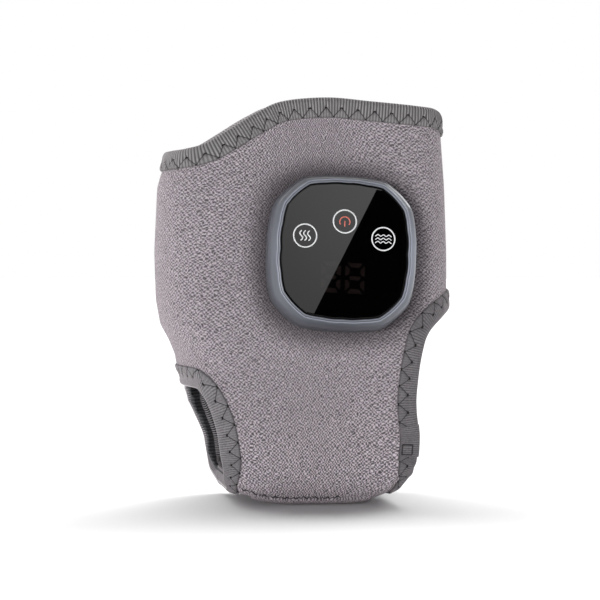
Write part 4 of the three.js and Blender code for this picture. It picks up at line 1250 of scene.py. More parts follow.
# the flap's layers above the sleeve: outer and inner side of each
SKIN_FACE, SKIN_BACK = 0.007, 0.0046
KNIT_FACE, KNIT_BACK, KNIT_NEAR = 0.0043, 0.003, 0.0004
KNIT_WAVE, KNIT_WAVE_HEIGHT = 0.012, 0.0001
HOOKS_FACE, HOOKS_MIDDLE, HOOKS_BACK = 0.0027, 0.0022, 0.0018
HOOKS_PITCH, HOOKS_HEIGHT = 0.0021, 0.00018
FLAP_TAPE_TOP, FLAP_TAPE_FOOT = 0.00835, -0.0016
# the fabric that folds at the flap's root, as places across and heights: its outer side, then its inner side
FOLD_OUTER = [
    (0.0570, 0.0003), (0.0550, 0.0010), (0.0530, 0.0019), (0.0512, 0.0031), (0.0497, 0.0045),
    (0.0485, 0.0058), (0.0474, 0.0068), (0.0462, 0.0075), (0.0450, 0.0079), (0.0436, 0.0081),
    (0.0420, 0.0082), (0.0406, 0.0080), (0.0398, 0.0074),
]
FOLD_INNER = [
    (0.0398, 0.0071), (0.0410, 0.0072), (0.0430, 0.0072), (0.0446, 0.0070), (0.0456, 0.0064),
    (0.0466, 0.0056), (0.0477, 0.0046), (0.0489, 0.0033), (0.0504, 0.0020), (0.0522, 0.0010),
    (0.0545, 0.0003), (0.0565, 0.0001),
]
FOLD_SPARE, FOLD_ROWS, FOLD_LUMP = 0.0008, 90, 0.00018

UNDERLAP_EDGE = 0.0415
SLIT_FOOT, SLIT_TOP = 0.086, 0.18
SLIT_REACH = 0.0115
UNDERLAP_FOOT, UNDERLAP_TOP = 0.0865, 0.1725
FLAP_BASE, FLAP_TIP = 0.0448, -0.015
FLAP_TOP, FLAP_TIP_TOP = 0.18, 0.175
FLAP_BASE_FOOT, FLAP_TIP_FOOT = 0.088, 0.095
FLAP_CORNER = 0.012
FLAP_HELD = 0.0098

# near the sole the two fabrics are let out to the tapes' lines: heights, how far at each, and the two places
# across between which it begins
HEEL_LET_OUT = (mm(0, 2.2, 6, 12, 20, 26), mm(9.6, 6.0, 3.5, 1.7, 0.5, 0), (-0.012, -0.026))
FOOT_LET_OUT = (mm(0, 3.5, 7.7, 13.2, 18.5, 24), mm(12.2, 6.2, 4.0, 2.0, 0.5, 0), (0.008, 0.024))
# the plush is cut back round the heel opening: the opening's middle, how near its edge, and how far
HEEL_MIDDLE = np.array([-0.075, 0.025])
CUT_REACH, CUT_BACK = 0.0035, 0.0014

# the end of the foot opening's tape: the heights that it lies between, and how far it stands above and below
TAPE_END_LOW, TAPE_END_HIGH = 0.0205, 0.037
TAPE_END_TOP, TAPE_END_FOOT, TAPE_END_OUT = 0.0006, 0.0004, 0.0004
# the tack on it: its corners along and across the tape, and its middle along it
TACK = [(-0.0025, 0.0091), (-0.0025, 0.0046), (0.0025, 0.0046), (0.0025, 0.0091), (-0.0025, 0.0091)]
TACK_MIDDLE = 0.0038

# the sole strip: how far it goes up the side, its thickness, and its reach past the solid's ends
STRIP_RISE, STRIP_THICKNESS, STRIP_SPARE, STRIP_COLUMNS = 0.0034, 0.00095, 0.009, 60
STRIP_OVER = 0.0016
SEAM_LEVEL = 0.0038

# the heel opening drawn to its shape, by heights: its upper corner inwards and its rear edge outwards
CORNER_HEIGHTS, CORNER_SHARES, CORNER_IN = (0.046, 0.052, 0.056, 0.064), (0, 0.7, 1, 0), 0.0029
REAR_HEIGHTS, REAR_SHARES = (0.026, 0.029, 0.036, 0.0436, 0.0495, 0.0535), (0, 0.13, 0.63, 1, 0.75, 0)
REAR_OUT = 0.0037
DRAWN = ("plush_sleeve", "knit_lining", "heel_tape", "heel_stitches", "heel_knots")
CROWNED = (
    "plush_sleeve", "knit_lining", "heel_tape", "foot_tape", "foot_tape_end", "heel_stitches", "heel_knots",
    "foot_stitches", "foot_knots", "tack_stitches", "sole_strip", "sole_seams",
)


def loop_on_face(reach, shares, step):
    """A taped edge's closed line, laid on the sleeve's face at even steps."""
    rough = edge_loop(reach, shares, 700)
    rough, _ = laid_on(rough, 0)
    length = np.linalg.norm(np.diff(np.vstack([rough, rough[:1]]), axis=0), axis=1).sum()
    return even_steps(rough, int(round(length / step)), closed=True)


EDGES = {
    "top": (TOP_REACH, TOP_EDGE_SHARES),
    "heel": (HEEL_REACH, HEEL_EDGE_SHARES),
    "foot": (FOOT_REACH, FOOT_EDGE_SHARES),
}
LOOPS = {}


def loops():
    """The three taped edges' lines, worked out once."""
    if not LOOPS:
        step = LOOP_STEP
        for key, (reach, shares) in EDGES.items():
            LOOPS[key] = loop_on_face(reach, shares, step)
    return LOOPS


def rear_line(flat, step):
    """A line drawn on the rear from places across and up, laid on the sleeve."""
    flat = np.array(flat, float)
    _, _, depth = section_at(flat[:, 1])
    rough = np.stack([flat[:, 0], depth * 0.9, flat[:, 1]], axis=1)
    middle, half, depth = section_at(rough[:, 2])
    share = np.clip(np.abs(rough[:, 0] - middle) / half, 0, 0.999)
    rough[:, 1] = depth * np.sqrt(1 - share**FACE_EXPONENT)
    length = np.linalg.norm(np.diff(rough, axis=0), axis=1).sum()
    line = even_steps(rough, int(round(length / step)))
    line, _ = laid_on(line, 0)
    return line


def rounded(corners, radius):
    """A line through corners, with each inner corner rounded."""
    corners = [np.array(c, float) for c in corners]
    line = [corners[0]]
    for before, here, after in zip(corners, corners[1:], corners[2:]):
        one = (before - here) / np.linalg.norm(before - here)
        two = (after - here) / np.linalg.norm(after - here)
        for t in np.linspace(0, 1, 9):
            a = here + one * radius * (1 - t)
            b = here + two * radius * t
            line.append(a * (1 - t) + b * t)
    line.append(corners[-1])
    return line


def narrowed(heights):
    """The tapes' share of their full width: they turn narrow where they pass under the sole."""
    return np.interp(heights, [0.004, 0.02], [0.62, 1])


def held_by_tapes(points, reach):
    """Which points the three tapes hold, within a reach of their edges, and which the slit's edge holds."""
    lines = [line[::3] for line in loops().values()]
    slit = rear_line([(UNDERLAP_EDGE, SLIT_FOOT), (UNDERLAP_EDGE, SLIT_TOP)], 0.002)
    return near_lines(points, lines) < reach * narrowed(points[:, 2]), near_lines(points, [slit]) < SLIT_REACH


def under_module(points, grow):
    """Which points of the front lie within the module's outline, grown by a distance."""
    place, _ = module_place()
    back = np.array(place.inverted())
    local = points @ back[:3, :3].T + back[:3, 3]
    x = np.abs(local[:, 0]) / (CASE_HALF[0] + grow)
    y = np.abs(local[:, 1]) / (CASE_HALF[1] + grow)
    return (x**CASE_EXPONENT + y**CASE_EXPONENT < 1) & (points[:, 1] < 0)


def let_out(points):
    """Lets the two fabrics out near the sole, to the line that the tapes take there."""
    for heights, reach, (start, end) in (HEEL_LET_OUT, FOOT_LET_OUT):
        x, z = points[:, 0], points[:, 2]
        share = np.clip((x - start) / (end - start), 0, 1)
        points[:, 0] = x + np.sign(end) * np.interp(z, heights, reach) * share
    return points


def cut_back(points):
    """Takes the plush's edge back a little round the heel opening, so that it stays inside the folded tape."""
    close = np.clip(1 - near_lines(points, [loops()["heel"][::3]]) / CUT_REACH, 0, 1) * CUT_BACK
    away = points[:, [0, 2]] - HEEL_MIDDLE
    away /= np.linalg.norm(away, axis=1)[:, None]
    points[:, 0] += away[:, 0] * close
    points[:, 2] += away[:, 1] * close * np.clip(points[:, 2] / 0.012, 0, 1)
    return points


class WRAP_OT_plush(bpy.types.Operator):
    """Plush outside: the outer layer remeshed, swelled by cloth between its bound edges and round the module"""

    bl_idname = "ankle_wrap.plush"
    bl_label = "Plush outside"

    def execute(self, context):
        look = Look()
        piece = copy_of("outer_panel", "plush_sleeve")
        set_coordinates(piece, let_out(coordinates(piece)))
        apply_modifier(piece, "REMESH", mode="VOXEL", voxel_size=PLUSH_GRID)
        points = cut_back(coordinates(piece))
        set_coordinates(piece, points)
        bound, slit = held_by_tapes(points, PLUSH_BOUND)
        held = bound | slit | under_module(points, MODULE_BOUND)
        middle, half, _ = section_at(points[:, 2])
        # the two folded sides and the sole swell less
        side = np.clip((np.abs(points[:, 0] - middle) / half - 0.8) / 0.16, 0, 1)
        low = np.clip((0.016 - points[:, 2]) / 0.01, 0, 1)
        calm = np.maximum(side, low)
        swell = look.plush_swell * (1 - calm) + look.side_swell * calm
        padded_skin(piece, 0.0, PLUSH_BACK, held, swell)
        # the velour gets painted shade round the module and painted light towards the sole
        piece.data.materials.append(plush_finish("velour", look, pressed=True))
        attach(piece, "wrap")
        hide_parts("outer_panel")
        return {"FINISHED"}


class WRAP_OT_lining(bpy.types.Operator):
    """Knit inside: the lining remeshed and swelled a little into the wrap"""

    bl_idname = "ankle_wrap.lining"
    bl_label = "Knit lining"

    def execute(self, context):
        look = Look()
        piece = copy_of("lining_panel", "knit_lining")
        set_coordinates(piece, let_out(coordinates(piece)))
        apply_modifier(piece, "REMESH", mode="VOXEL", voxel_size=LINING_GRID)
        points = coordinates(piece)
        off = outside_by(points)
        lift = np.where(off < LINING_BACK + LINING_NEAR, LINING_BACK, off)
        lift = np.where(off > LINING_FACE - LINING_NEAR, LINING_FACE, lift)
        points, normal = laid_on(points, lift)
        bound, slit = held_by_tapes(points, LINING_BOUND)
        inner = lift < LINING_BACK + 0.0001
        rise = np.where(inner & ~bound & ~slit, look.lining_swell, 0.0)
        edges = neighbours(piece)
        covered, _ = held_by_tapes(points, LINING_COVERED)
        rise = np.where(covered, np.where(inner, LINING_TUCK, 0.0), evened(rise, edges, 6))
        wave = np.sin(points[:, 2] * 2 * math.pi / LINING_WAVE) * LINING_WAVE_HEIGHT
        set_coordinates(piece, points - normal * (rise + np.where(inner & (rise > 0), wave, 0))[:, None])
        subdivided(piece)
        piece.data.materials.append(knit_finish("knit", look))
        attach(piece, "wrap")
        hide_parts("lining_panel")
        return {"FINISHED"}


TAPES = {}


class WRAP_OT_tapes(bpy.types.Operator):
    """Folded ribbed tapes on the top edge, the heel and foot openings and the underlap"""

    bl_idname = "ankle_wrap.tapes"
    bl_label = "Edge tapes"

    def execute(self, context):
        look = Look()
        # the sixth column, edge, is how strong the painted highlight and painted shade at the fold are; above one only
        # for the heel
        kinds = (
            ("top", "top_binding", (0, 0, -1), look.top_tape, 1.2, 1.0, 0.00008, (look.rib_pitch, 0.0076), None),
            ("heel", "heel_binding", (0.6, 0, 1), look.heel_tape, 0.4, 1.5, 0.00002, None, narrowed),
            ("foot", "foot_binding", (-0.6, 0, 1), look.foot_tape, 0.4, 1.0, 0.00002, None, narrowed),
        )
        for key, node, into, tint, contrast, edge, rib, pitches, narrow in kinds:
            tape = Tape(loops()[key], into, look, rib=rib, pitches=pitches, narrow=narrow)
            TAPES[key] = tape
            piece = tape.sewn(key + "_tape", tape_finish(key + "_tape", look, tint, tape, contrast, edge))
            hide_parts(node)
        # the underlap's free edge, from the foot of the slit to the top tape
        step = TAPE_STEP
        line = rear_line([(UNDERLAP_EDGE, UNDERLAP_FOOT), (UNDERLAP_EDGE, UNDERLAP_TOP)], step)
        tape = Tape(line, (-1, 0, 0), look, closed=False, ends=0.002)
        TAPES["underlap"] = tape
        piece = tape.sewn("underlap_tape", tape_finish("underlap_tape", look, look.foot_tape, tape, 0.8))
        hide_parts("underlap_binding")
        # the end of the foot opening's tape, folded over its beginning
        line = loops()["foot"]
        near = (line[:, 1] < -0.018) & (line[:, 2] > TAPE_END_LOW) & (line[:, 2] < TAPE_END_HIGH)
        part = np.flatnonzero(near)
        breaks = np.flatnonzero(np.diff(part) > 1)
        if len(breaks):
            part = np.concatenate([part[breaks[0] + 1 :], part[: breaks[0] + 1]])
        if line[part[0], 2] > line[part[-1], 2]:
            part = part[::-1]
        levels = TAPE_TOP + TAPE_END_TOP, TAPE_FOOT + TAPE_END_FOOT
        end = Tape(line[part], (-1, 0, 0.3), look, *levels, closed=False, stitched=False, ends=0.0006)
        # it lies flat at its upper end and stands out most at the cut end below
        share = np.clip(1.15 - end.run / end.length, 0.12, 1)[:, None]
        end.bases = end.bases + (outward_edge(end) * TAPE_END_OUT * share)[None]
        TAPES["end"] = end
        piece = end.sewn("foot_tape_end", tape_finish("foot_tape_end", look, shade(look.foot_tape, 1.04), end, 0.4))
        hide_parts("foot_binding_end")
        return {"FINISHED"}


def outward_edge(tape):
    """The direction out of the fabric at each step of a tape's line."""
    way = tape.bases[1] - tape.bases[2]
    return way / np.linalg.norm(way, axis=1, keepdims=True)


class WRAP_OT_stitches(bpy.types.Operator):
    """Zigzag stitches with their needle holes, the tack on the tape's end and the seams of the sole"""

    bl_idname = "ankle_wrap.stitches"
    bl_label = "Stitches"

    def execute(self, context):
        look = Look()
        thread = thread_finish("dark_thread", look.thread_colour)
        # the knots get darker thread: painted shade of the needle holes
        pressed = thread_finish("pressed_thread", look.knots)
        for key in ("top", "heel", "foot", "underlap"):
            bundle, knots = Bundle(), Bundle()
            if key == "top":
                TAPES[key].thread(bundle, knots, 0.0009, 0.0003)
            else:
                TAPES[key].thread(bundle, knots)
            bundle.made(key + "_stitches", thread)
            knots.made(key + "_knots", pressed)
        # the tack: two passes round a small upright box
        bundle = Bundle()
        end = TAPES["end"]
        step = end.length / (len(end.loop) - 1)
        for turn in range(2):
            line = []
            for (a, b), (c, d) in zip(TACK, TACK[1:]):
                for t in np.linspace(0, 1, 15):
                    line.append((TACK_MIDDLE + a + (c - a) * t + turn * 0.0003, b + (d - b) * t - turn * 0.00035))
            line = np.array(line)
            height = end.top_at(line[:, 0], line[:, 1]) + look.thread * 0.3
            height += 0.00018 * np.cos(np.arange(len(line)) * math.pi)
            bundle.put(*tube(end.spot(line[:, 0] / step, line[:, 1], height), look.thread * 1.1, 6))
        bundle.made("tack_stitches", thread)
        return {"FINISHED"}


class WRAP_OT_sole(bpy.types.Operator):
    """Sole strip of plush and the two uneven flat seams that hold it"""

    bl_idname = "ankle_wrap.sole"
    bl_label = "Sole strip"

    def execute(self, context):
        look = Look()
        heel, foot = lower_line(*EDGES["heel"]), lower_line(*EDGES["foot"])
        knee = SOLE_LEVEL + SOLE_RADIUS
        turns = np.linspace(math.acos(min(1, (knee - STRIP_RISE) / SOLE_RADIUS)), 0, 12)
        rows = [(SOLE_LEVEL + SOLE_RADIUS * (1 - math.cos(t)), SOLE_RADIUS * (1 - math.sin(t))) for t in turns]
        depth = float(section_at(np.array([knee]))[2][0])
        path = [(-(depth - inset), z) for z, inset in rows]
        flat = np.linspace(path[-1][0], -path[-1][0], 42)[1:-1]
        path += [(y, SOLE_LEVEL) for y in flat] + [(-y, z) for y, z in path[::-1]]
        points = []
        low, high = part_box("sole_piece")
        for y, z in path:
            left = max(np.interp(z, heel[:, 1], heel[:, 0]) + 0.0014, low[0] - STRIP_SPARE)
            right = min(np.interp(z, foot[:, 1], foot[:, 0]) - TAPE_REACH * narrowed(z), high[0] + STRIP_SPARE)
            points += [(left + (right - left) * k / STRIP_COLUMNS, y, z) for k in range(STRIP_COLUMNS + 1)]
        points = np.array(points)
        base, normal = laid_on(points, 0)
        count_u, count_v = len(path), STRIP_COLUMNS + 1
        edge_u = np.minimum(np.arange(count_u), np.arange(count_u)[::-1])
        edge_v = np.minimum(np.arange(count_v), np.arange(count_v)[::-1])
        edge = np.minimum(edge_u[:, None] * 1.0, edge_v[None, :] * 1.0).ravel()
        lump = np.sin(base[:, 0] * 900) * np.sin(base[:, 1] * 700 + 1.1) * 0.00008
        top = 0.00018 + STRIP_THICKNESS * (1 - np.exp(-edge)) + lump
        # its heel end runs over the tape
        end = np.interp(points[:, 2], heel[:, 1], heel[:, 0]) + TAPE_REACH * narrowed(points[:, 2]) + 0.0012
        over = np.clip(end - base[:, 0], 0, STRIP_OVER)
        upper = base + normal * (top + over)[:, None]
        upper[:, 2] = np.maximum(upper[:, 2], 0.00002)
        lower = base + normal * (over + 0.00005)[:, None]
        total = count_u * count_v
        under = [tuple(total + k for k in face) for face in quads(count_u, count_v, turned=True)]
        faces = [face for both in zip(quads(count_u, count_v), under) for face in both]
        rim = (
            list(range(count_v))
            + [u * count_v + count_v - 1 for u in range(1, count_u)]
            + [(count_u - 1) * count_v + v for v in range(count_v - 2, -1, -1)]
            + [u * count_v for u in range(count_u - 2, 0, -1)]
        )
        for a, b in zip(rim, rim[1:] + rim[:1]):
            faces.append((a, b, total + b, total + a))
        velour = plush_finish("sole_velour", look, 1.06, flat=True)
        piece = recalculated(made("sole_strip", np.vstack([upper, lower]), faces, velour))
        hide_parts("sole_piece")

        # the two seams: a dark uneven zigzag, which sinks into the plush towards the foot
        thread = thread_finish("seam_thread", look.thread_colour)
        bundle = Bundle()
        left = np.interp(SEAM_LEVEL, heel[:, 1], heel[:, 0]) + 0.0068
        right = np.interp(SEAM_LEVEL, foot[:, 1], foot[:, 0]) - 0.0075
        for side in (-1, 1):
            share = np.linspace(0, 1, 260)
            x = left + (right - left) * share
            wobble = np.sin(share * 31) * 0.4 + np.sin(share * 77 + 2) * 0.35 + np.sin(share * 143 + 5) * 0.25
            teeth = np.abs(((share * 26 + wobble * 0.25) % 1) - 0.5) * 2
            z = SEAM_LEVEL + 0.0011 * (teeth - 0.5) + wobble * 0.00025
            inset = SOLE_RADIUS * (1 - np.sqrt(1 - ((knee - z) / SOLE_RADIUS) ** 2))
            line = np.stack([x, side * (depth - inset), z], axis=1)
            lift = 0.0003 - 0.0012 * np.clip((x - 0.012) / 0.006, 0, 1)
            line, _ = laid_on(line, lift)
            bundle.put(*tube(line, look.thread * (1.3 + 0.6 * np.sin(share * 90)), 6))
        bundle.made("sole_seams", thread)
        return {"FINISHED"}


def drawn(points):
    """Draws in the heel opening's upper corner and lets its rear edge out."""
    x, y, z = points.T
    corner = np.interp(z, CORNER_HEIGHTS, CORNER_SHARES) * np.clip((-0.049 - x) / 0.007, 0, 1)
    behind = np.clip((x + 0.0557) / 0.0057, 0, 1) * np.clip((-0.015 - x) / 0.015, 0, 1) * np.clip(y / 0.015, 0, 1)
    points[:, 0] = x + CORNER_IN * corner - REAR_OUT * np.interp(z, REAR_HEIGHTS, REAR_SHARES) * behind
    return points


class WRAP_OT_crown(bpy.types.Operator):
    """Draws the heel opening to its shape and raises the two ends of the sole, as its stuffing does"""

    bl_idname = "ankle_wrap.crown"
    bl_label = "Crowned sole"

    def execute(self, context):
        for name in CROWNED:
            piece = bpy.data.objects[name]
            points = coordinates(piece)
            if name in DRAWN:
                points = drawn(points)
            share = np.clip(1 - points[:, 2] / CROWN_HEIGHT, 0, 1)
            share = share * share * (3 - 2 * share)
            heel = np.maximum(CROWN_HEEL[0] - points[:, 0], 0) / CROWN_HEEL[1]
            foot = np.maximum(points[:, 0] - CROWN_FOOT[0], 0) / CROWN_FOOT[1]
            rise = np.minimum(CROWN_HEEL[2] * heel**2 + CROWN_FOOT[2] * foot**2, CROWN_MOST)
            points[:, 2] += rise * share
            set_coordinates(piece, points)
        return {"FINISHED"}


def lower_line(reach, shares):
    """An edge's line in the flat, from the sole up, as x and z."""
    start, span, rise = reach
    flat = smooth_line([(start + span * across, rise * up) for across, up in shares], 600)
    flat = flat[np.argsort(flat[:, 1])]
    return flat[flat[:, 1] < 0.03]


class WRAP_OT_flap(bpy.types.Operator):
    """Closure flap at the back: padded skin, lining, tape, hook patches and the fabric that folds at its root"""

    bl_idname = "ankle_wrap.flap"
    bl_label = "Closure flap"

    def execute(self, context):
        look = Look()
        outline = rounded(
            [(FLAP_BASE, FLAP_TOP), (FLAP_TIP, FLAP_TIP_TOP), (FLAP_TIP, FLAP_TIP_FOOT), (FLAP_BASE, FLAP_BASE_FOOT)],
            FLAP_CORNER,
        )
        edge = rear_line(outline, 0.002)
        voxel = FLAP_GRID
        velour = plush_finish("flap_velour", look)
        for node, name, face, back, swell, finish, slot in (
            ("closure_flap", "flap_skin", SKIN_FACE, SKIN_BACK, look.flap_swell, velour, "plush"),
            ("flap_lining", "flap_knit", KNIT_FACE, KNIT_BACK, 0.0, knit_finish("flap_knit", look), "lining"),
        ):
            piece = copy_of(node, name)
            apply_modifier(piece, "REMESH", mode="VOXEL", voxel_size=voxel if swell else voxel * 0.6)
            points = coordinates(piece)
            if swell:
                base, _ = laid_on(points, 0)
                held = near_lines(base, [edge]) < FLAP_HELD
                padded_skin(piece, face, back, held, swell)
            else:
                off = outside_by(points) - (face + back) / 2
                lift = np.where(off > KNIT_NEAR, face, np.where(off < -KNIT_NEAR, back, off + (face + back) / 2))
                points, normal = laid_on(points, lift)
                lump = np.sin(points[:, 2] * 2 * math.pi / KNIT_WAVE) * KNIT_WAVE_HEIGHT
                set_coordinates(piece, points - normal * np.where(lift < back + 0.0002, lump, 0)[:, None])
                smooth_faces(piece)
            piece.data.materials.append(finish)
            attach(piece, "back_flap")
            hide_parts(node)
        line = rear_line(outline, TAPE_STEP)
        levels = FLAP_TAPE_TOP, FLAP_TAPE_FOOT
        tape = Tape(line, line.mean(axis=0) - line, look, *levels, closed=False, ends=0.0008, rib=0.00006)
        piece = tape.sewn("flap_tape", tape_finish("flap_tape", look, look.top_tape, tape, 1.0), "back_flap")
        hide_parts("flap_binding")
        bundle, knots = Bundle(), Bundle()
        tape.thread(bundle, knots)
        thread = thread_finish("flap_thread", look.thread_colour)
        bundle.made("flap_stitches", thread, "back_flap")
        # the knots get darker thread: painted shade of the needle holes
        knots.made("flap_knots", thread_finish("flap_pressed_thread", look.knots), "back_flap")

        # the fabric that folds where the flap is sewn to the wrap
        heights = np.linspace(FLAP_BASE_FOOT + FOLD_SPARE, FLAP_TOP - FOLD_SPARE, FOLD_ROWS)
        ring = FOLD_OUTER + FOLD_INNER
        points = []
        for height in heights:
            _, _, depth = section_at(np.array([height]))
            rough = np.array([(x, float(depth[0]) * 0.9, height) for x, _ in ring])
            at = np.arange(len(ring))
            lump = FOLD_LUMP * np.sin(height * 900 + at * 0.2) * (at < len(FOLD_OUTER))
            points.append(laid_on(rough, np.array([up for _, up in ring]) + lump)[0])
        points = np.array(points)
        tall, wide = points.shape[:2]
        faces = quads(tall, wide, ring_across=True)
        faces.append(tuple(range(wide)))
        faces.append(tuple((tall - 1) * wide + k for k in range(wide))[::-1])
        piece = recalculated(made("flap_fold", points.reshape(-1, 3), faces, velour, None))
        subdivided(piece)
        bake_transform(piece)

        # hook patches
        for k, node in enumerate(("hook_patch_lower", "hook_patch_upper")):
            piece = copy_of(node, ("lower", "upper")[k] + "_hooks")
            apply_modifier(piece, "REMESH", mode="VOXEL", voxel_size=HOOKS_GRID)
            points = coordinates(piece)
            lift = np.where(outside_by(points) < HOOKS_MIDDLE, HOOKS_BACK, HOOKS_FACE)
            points, normal = laid_on(points, lift)
            waves = np.sin(points * 2 * math.pi / HOOKS_PITCH)
            bristle = HOOKS_HEIGHT * (waves[:, 0] * waves[:, 2])
            set_coordinates(piece, points - normal * np.where(lift < HOOKS_MIDDLE, bristle, 0)[:, None])
            smooth_faces(piece)
            piece.data.materials.append(hook_finish(node + "_hooks", (0.2, 0.2, 0.21)))
            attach(piece, "back_flap")
            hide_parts(node)
        return {"FINISHED"}


# ---------------------------------------------------------------- control module
GLASS_SHARES = [(1, 0), (0.98, 0.37), (0.9215, 0.64), (0.58, 0.952), (0.33, 0.985), (0, 1)]
CASE_SIDE = [(0, 0.84), (0.15, 0.96), (0.38, 1), (0.62, 0.95), (0.8, 0.76), (0.92, 0.46), (1, 0.0)]
CASE_FOOT = 0.0006
CASE_TOP = 0.0163
SIDE_SPAN = 16.3  # the side's height in mm, so that its ups and its shares weigh alike
COLUMNS = 240  # points in each ring, close together at the panel's eight corners
CORNER_TURNS = [math.atan2(y * GLASS_HALF[1], x * GLASS_HALF[0]) for x, y in GLASS_SHARES[2:4]]
CORNER_TURNS = [s * t + k for t in CORNER_TURNS for s, k in ((1, 0), (-1, math.pi), (1, math.pi), (-1, 2 * math.pi))]
CLOSE_TURNS = [t + math.radians(d) for t in CORNER_TURNS for d in (-1.0, -0.35, 0.35, 1.0)]
EVEN_COLUMNS = COLUMNS - len(CLOSE_TURNS)
TURNS = np.sort(np.concatenate([2 * math.pi * np.arange(EVEN_COLUMNS) / EVEN_COLUMNS, CLOSE_TURNS]))
# the case's outline: how much of it is the panel's octagon, and how soft that one's corners are
OCTAGON_SHARE, OCTAGON_SOFT = 0.85, 0.0036
# the two ridges round the panel: distance from it, height, and painted highlight (above zero) or painted shade (below
# zero) of each ring
RIDGES = [
    (0.0021, 0.01632, 0.05), (0.00186, 0.0165, 0.2), (0.00172, 0.01659, 0.5), (0.00156, 0.01661, 0.5),
    (0.00142, 0.01652, 0.15), (0.00126, 0.01634, -0.12), (0.0011, 0.01627, -0.12), (0.00094, 0.01632, 0.1),
    (0.0008, 0.01642, 0.3), (0.00064, 0.01645, 0.3), (0.0005, 0.0164, 0.2), (0.00038, 0.01628, -0.2),
    (0.00026, 0.01606, -0.8), (0.00018, 0.0158, -1), (0.00014, 0.0150, -1), (0.00014, 0.0134, -1),
]
SOCKET_MOUTH, SOCKET_CORNER = (0.0094, 0.012, 0.0036), 0.00165
CASE_CREASE, GLASS_CREASE = 38, 20
# the touch signs' middles on the panel, and the level of their print
HEAT_SIGN, POWER_SIGN, SHAKE_SIGN = (-0.01784, 0.00596), (-0.00024, 0.01328), (0.01732, 0.00636)
PRINT_LOW, PRINT_HIGH, UNLIT_HIGH = GLASS_TOP - 0.00004, GLASS_TOP + 0.00003, GLASS_TOP + 0.000006


def glass_outline(grow, half=GLASS_HALF, soft=0.0003):
    """The touch panel's outline: an octagon with bowed sides and softened corners, grown by a distance."""
    quarter = [np.array(p, float) for p in GLASS_SHARES]
    ring = []
    for sx, sy, order in ((1, 1, 1), (-1, 1, -1), (-1, -1, 1), (1, -1, -1)):
        part = [p * np.array([sx, sy]) for p in quarter][::order]
        ring += part[:-1]
    ring = np.array(ring) * np.array(half)
    ring = softened(ring, soft)
    along = np.roll(ring, -1, axis=0) - np.roll(ring, 1, axis=0)
    along /= np.linalg.norm(along, axis=1, keepdims=True)
    grown = ring + np.stack([along[:, 1], -along[:, 0]], axis=1) * grow
    at = np.unwrap(np.arctan2(grown[:, 1], grown[:, 0]))
    order = np.argsort(at)
    at, reach = at[order], np.linalg.norm(grown, axis=1)[order]
    at = np.concatenate([at - 2 * math.pi, at, at + 2 * math.pi])
    reach = np.tile(reach, 3)
    r = np.interp(TURNS, at, reach)
    return np.stack([r * np.cos(TURNS), r * np.sin(TURNS)], axis=1)


def softened(ring, radius):
    """A closed outline with each corner rounded over the same distance."""
    line = []
    for k, here in enumerate(ring):
        before, after = ring[k - 1], ring[(k + 1) % len(ring)]
        one, two = before - here, after - here
        reach = min(radius, np.linalg.norm(one) * 0.45, np.linalg.norm(two) * 0.45)
        start, end = here + one / np.linalg.norm(one) * reach, here + two / np.linalg.norm(two) * reach
        for t in np.linspace(0, 1, 7):
            line.append((1 - t) ** 2 * start + 2 * t * (1 - t) * here + t * t * end)
    return np.array(line)


def case_outline():
    """The case's outline: a rounded square drawn most of the way to the panel's octagon."""
    x, y = np.cos(TURNS), np.sin(TURNS)
    r = (np.abs(x / CASE_HALF[0]) ** CASE_EXPONENT + np.abs(y / CASE_HALF[1]) ** CASE_EXPONENT) ** (-1 / CASE_EXPONENT)
    octagon = glass_outline(0, CASE_HALF, OCTAGON_SOFT)
    return np.stack([r * x, r * y], axis=1) * 0.15 + octagon * OCTAGON_SHARE


def ring_from_circle(name, rings, material, place, closed, cap, polish=None):
    """Starts from a circle, extrudes it ring by ring in edit mode, then lays each ring on its outline."""
    clear_selection()
    bpy.ops.mesh.primitive_circle_add(vertices=COLUMNS, radius=0.03, fill_type="NOTHING", location=(0, 0, 0))
    piece = bpy.context.active_object
    piece.name = piece.data.name = name

    def extruded():
        for _ in rings[1:]:
            bpy.ops.mesh.extrude_region_move(TRANSFORM_OT_translate={"value": (0, 0, 0.001)})

    in_edit_mode(piece, extruded)
    points = coordinates(piece)
    level = np.round(points[:, 2] / 0.001).astype(int)
    turn = np.round(np.arctan2(points[:, 1], points[:, 0]) / (2 * math.pi / COLUMNS)).astype(int) % COLUMNS
    table = np.array([[(x, y, z) for x, y in outline] for outline, z in rings])
    set_coordinates(piece, placed(table[level, turn], place))
    bpy.ops.object.mode_set(mode="EDIT")
    bpy.ops.mesh.select_all(action="DESELECT")
    bpy.ops.object.mode_set(mode="OBJECT")
    ends = np.isin(level, [0, len(rings) - 1])
    for edge in piece.data.edges:
        a, b = edge.vertices
        edge.select = bool(ends[a] and ends[b] and level[a] == level[b])
    bpy.ops.object.mode_set(mode="EDIT")
    bpy.ops.mesh.select_mode(type="EDGE")
    if closed:
        bpy.ops.mesh.bridge_edge_loops()
    elif cap:
        bpy.ops.mesh.edge_face_add()
    bpy.ops.mesh.select_all(action="SELECT")
    bpy.ops.mesh.normals_make_consistent(inside=False)
    bpy.ops.object.mode_set(mode="OBJECT")
    bpy.context.view_layer.update()
    if polish:
        corner = read(piece.data.loops, "vertex_index")
        angles = TURNS[turn[corner]]
        shown, sides = np.array(polish)[level[corner]].T
        # painted light: the case is painted darker at its top and bottom and lighter on its right side
        above, right = np.maximum(np.sin(angles), 0) ** 2, np.maximum(np.cos(angles), 0) ** 2
        shown = shown - sides * (np.sin(angles) ** 2 + 0.3 * above - 0.55 * right)
        set_map(piece, "rim", shown, shown)
    piece.data.materials.append(material)
    smooth_faces(piece)
    piece.select_set(False)
    return piece


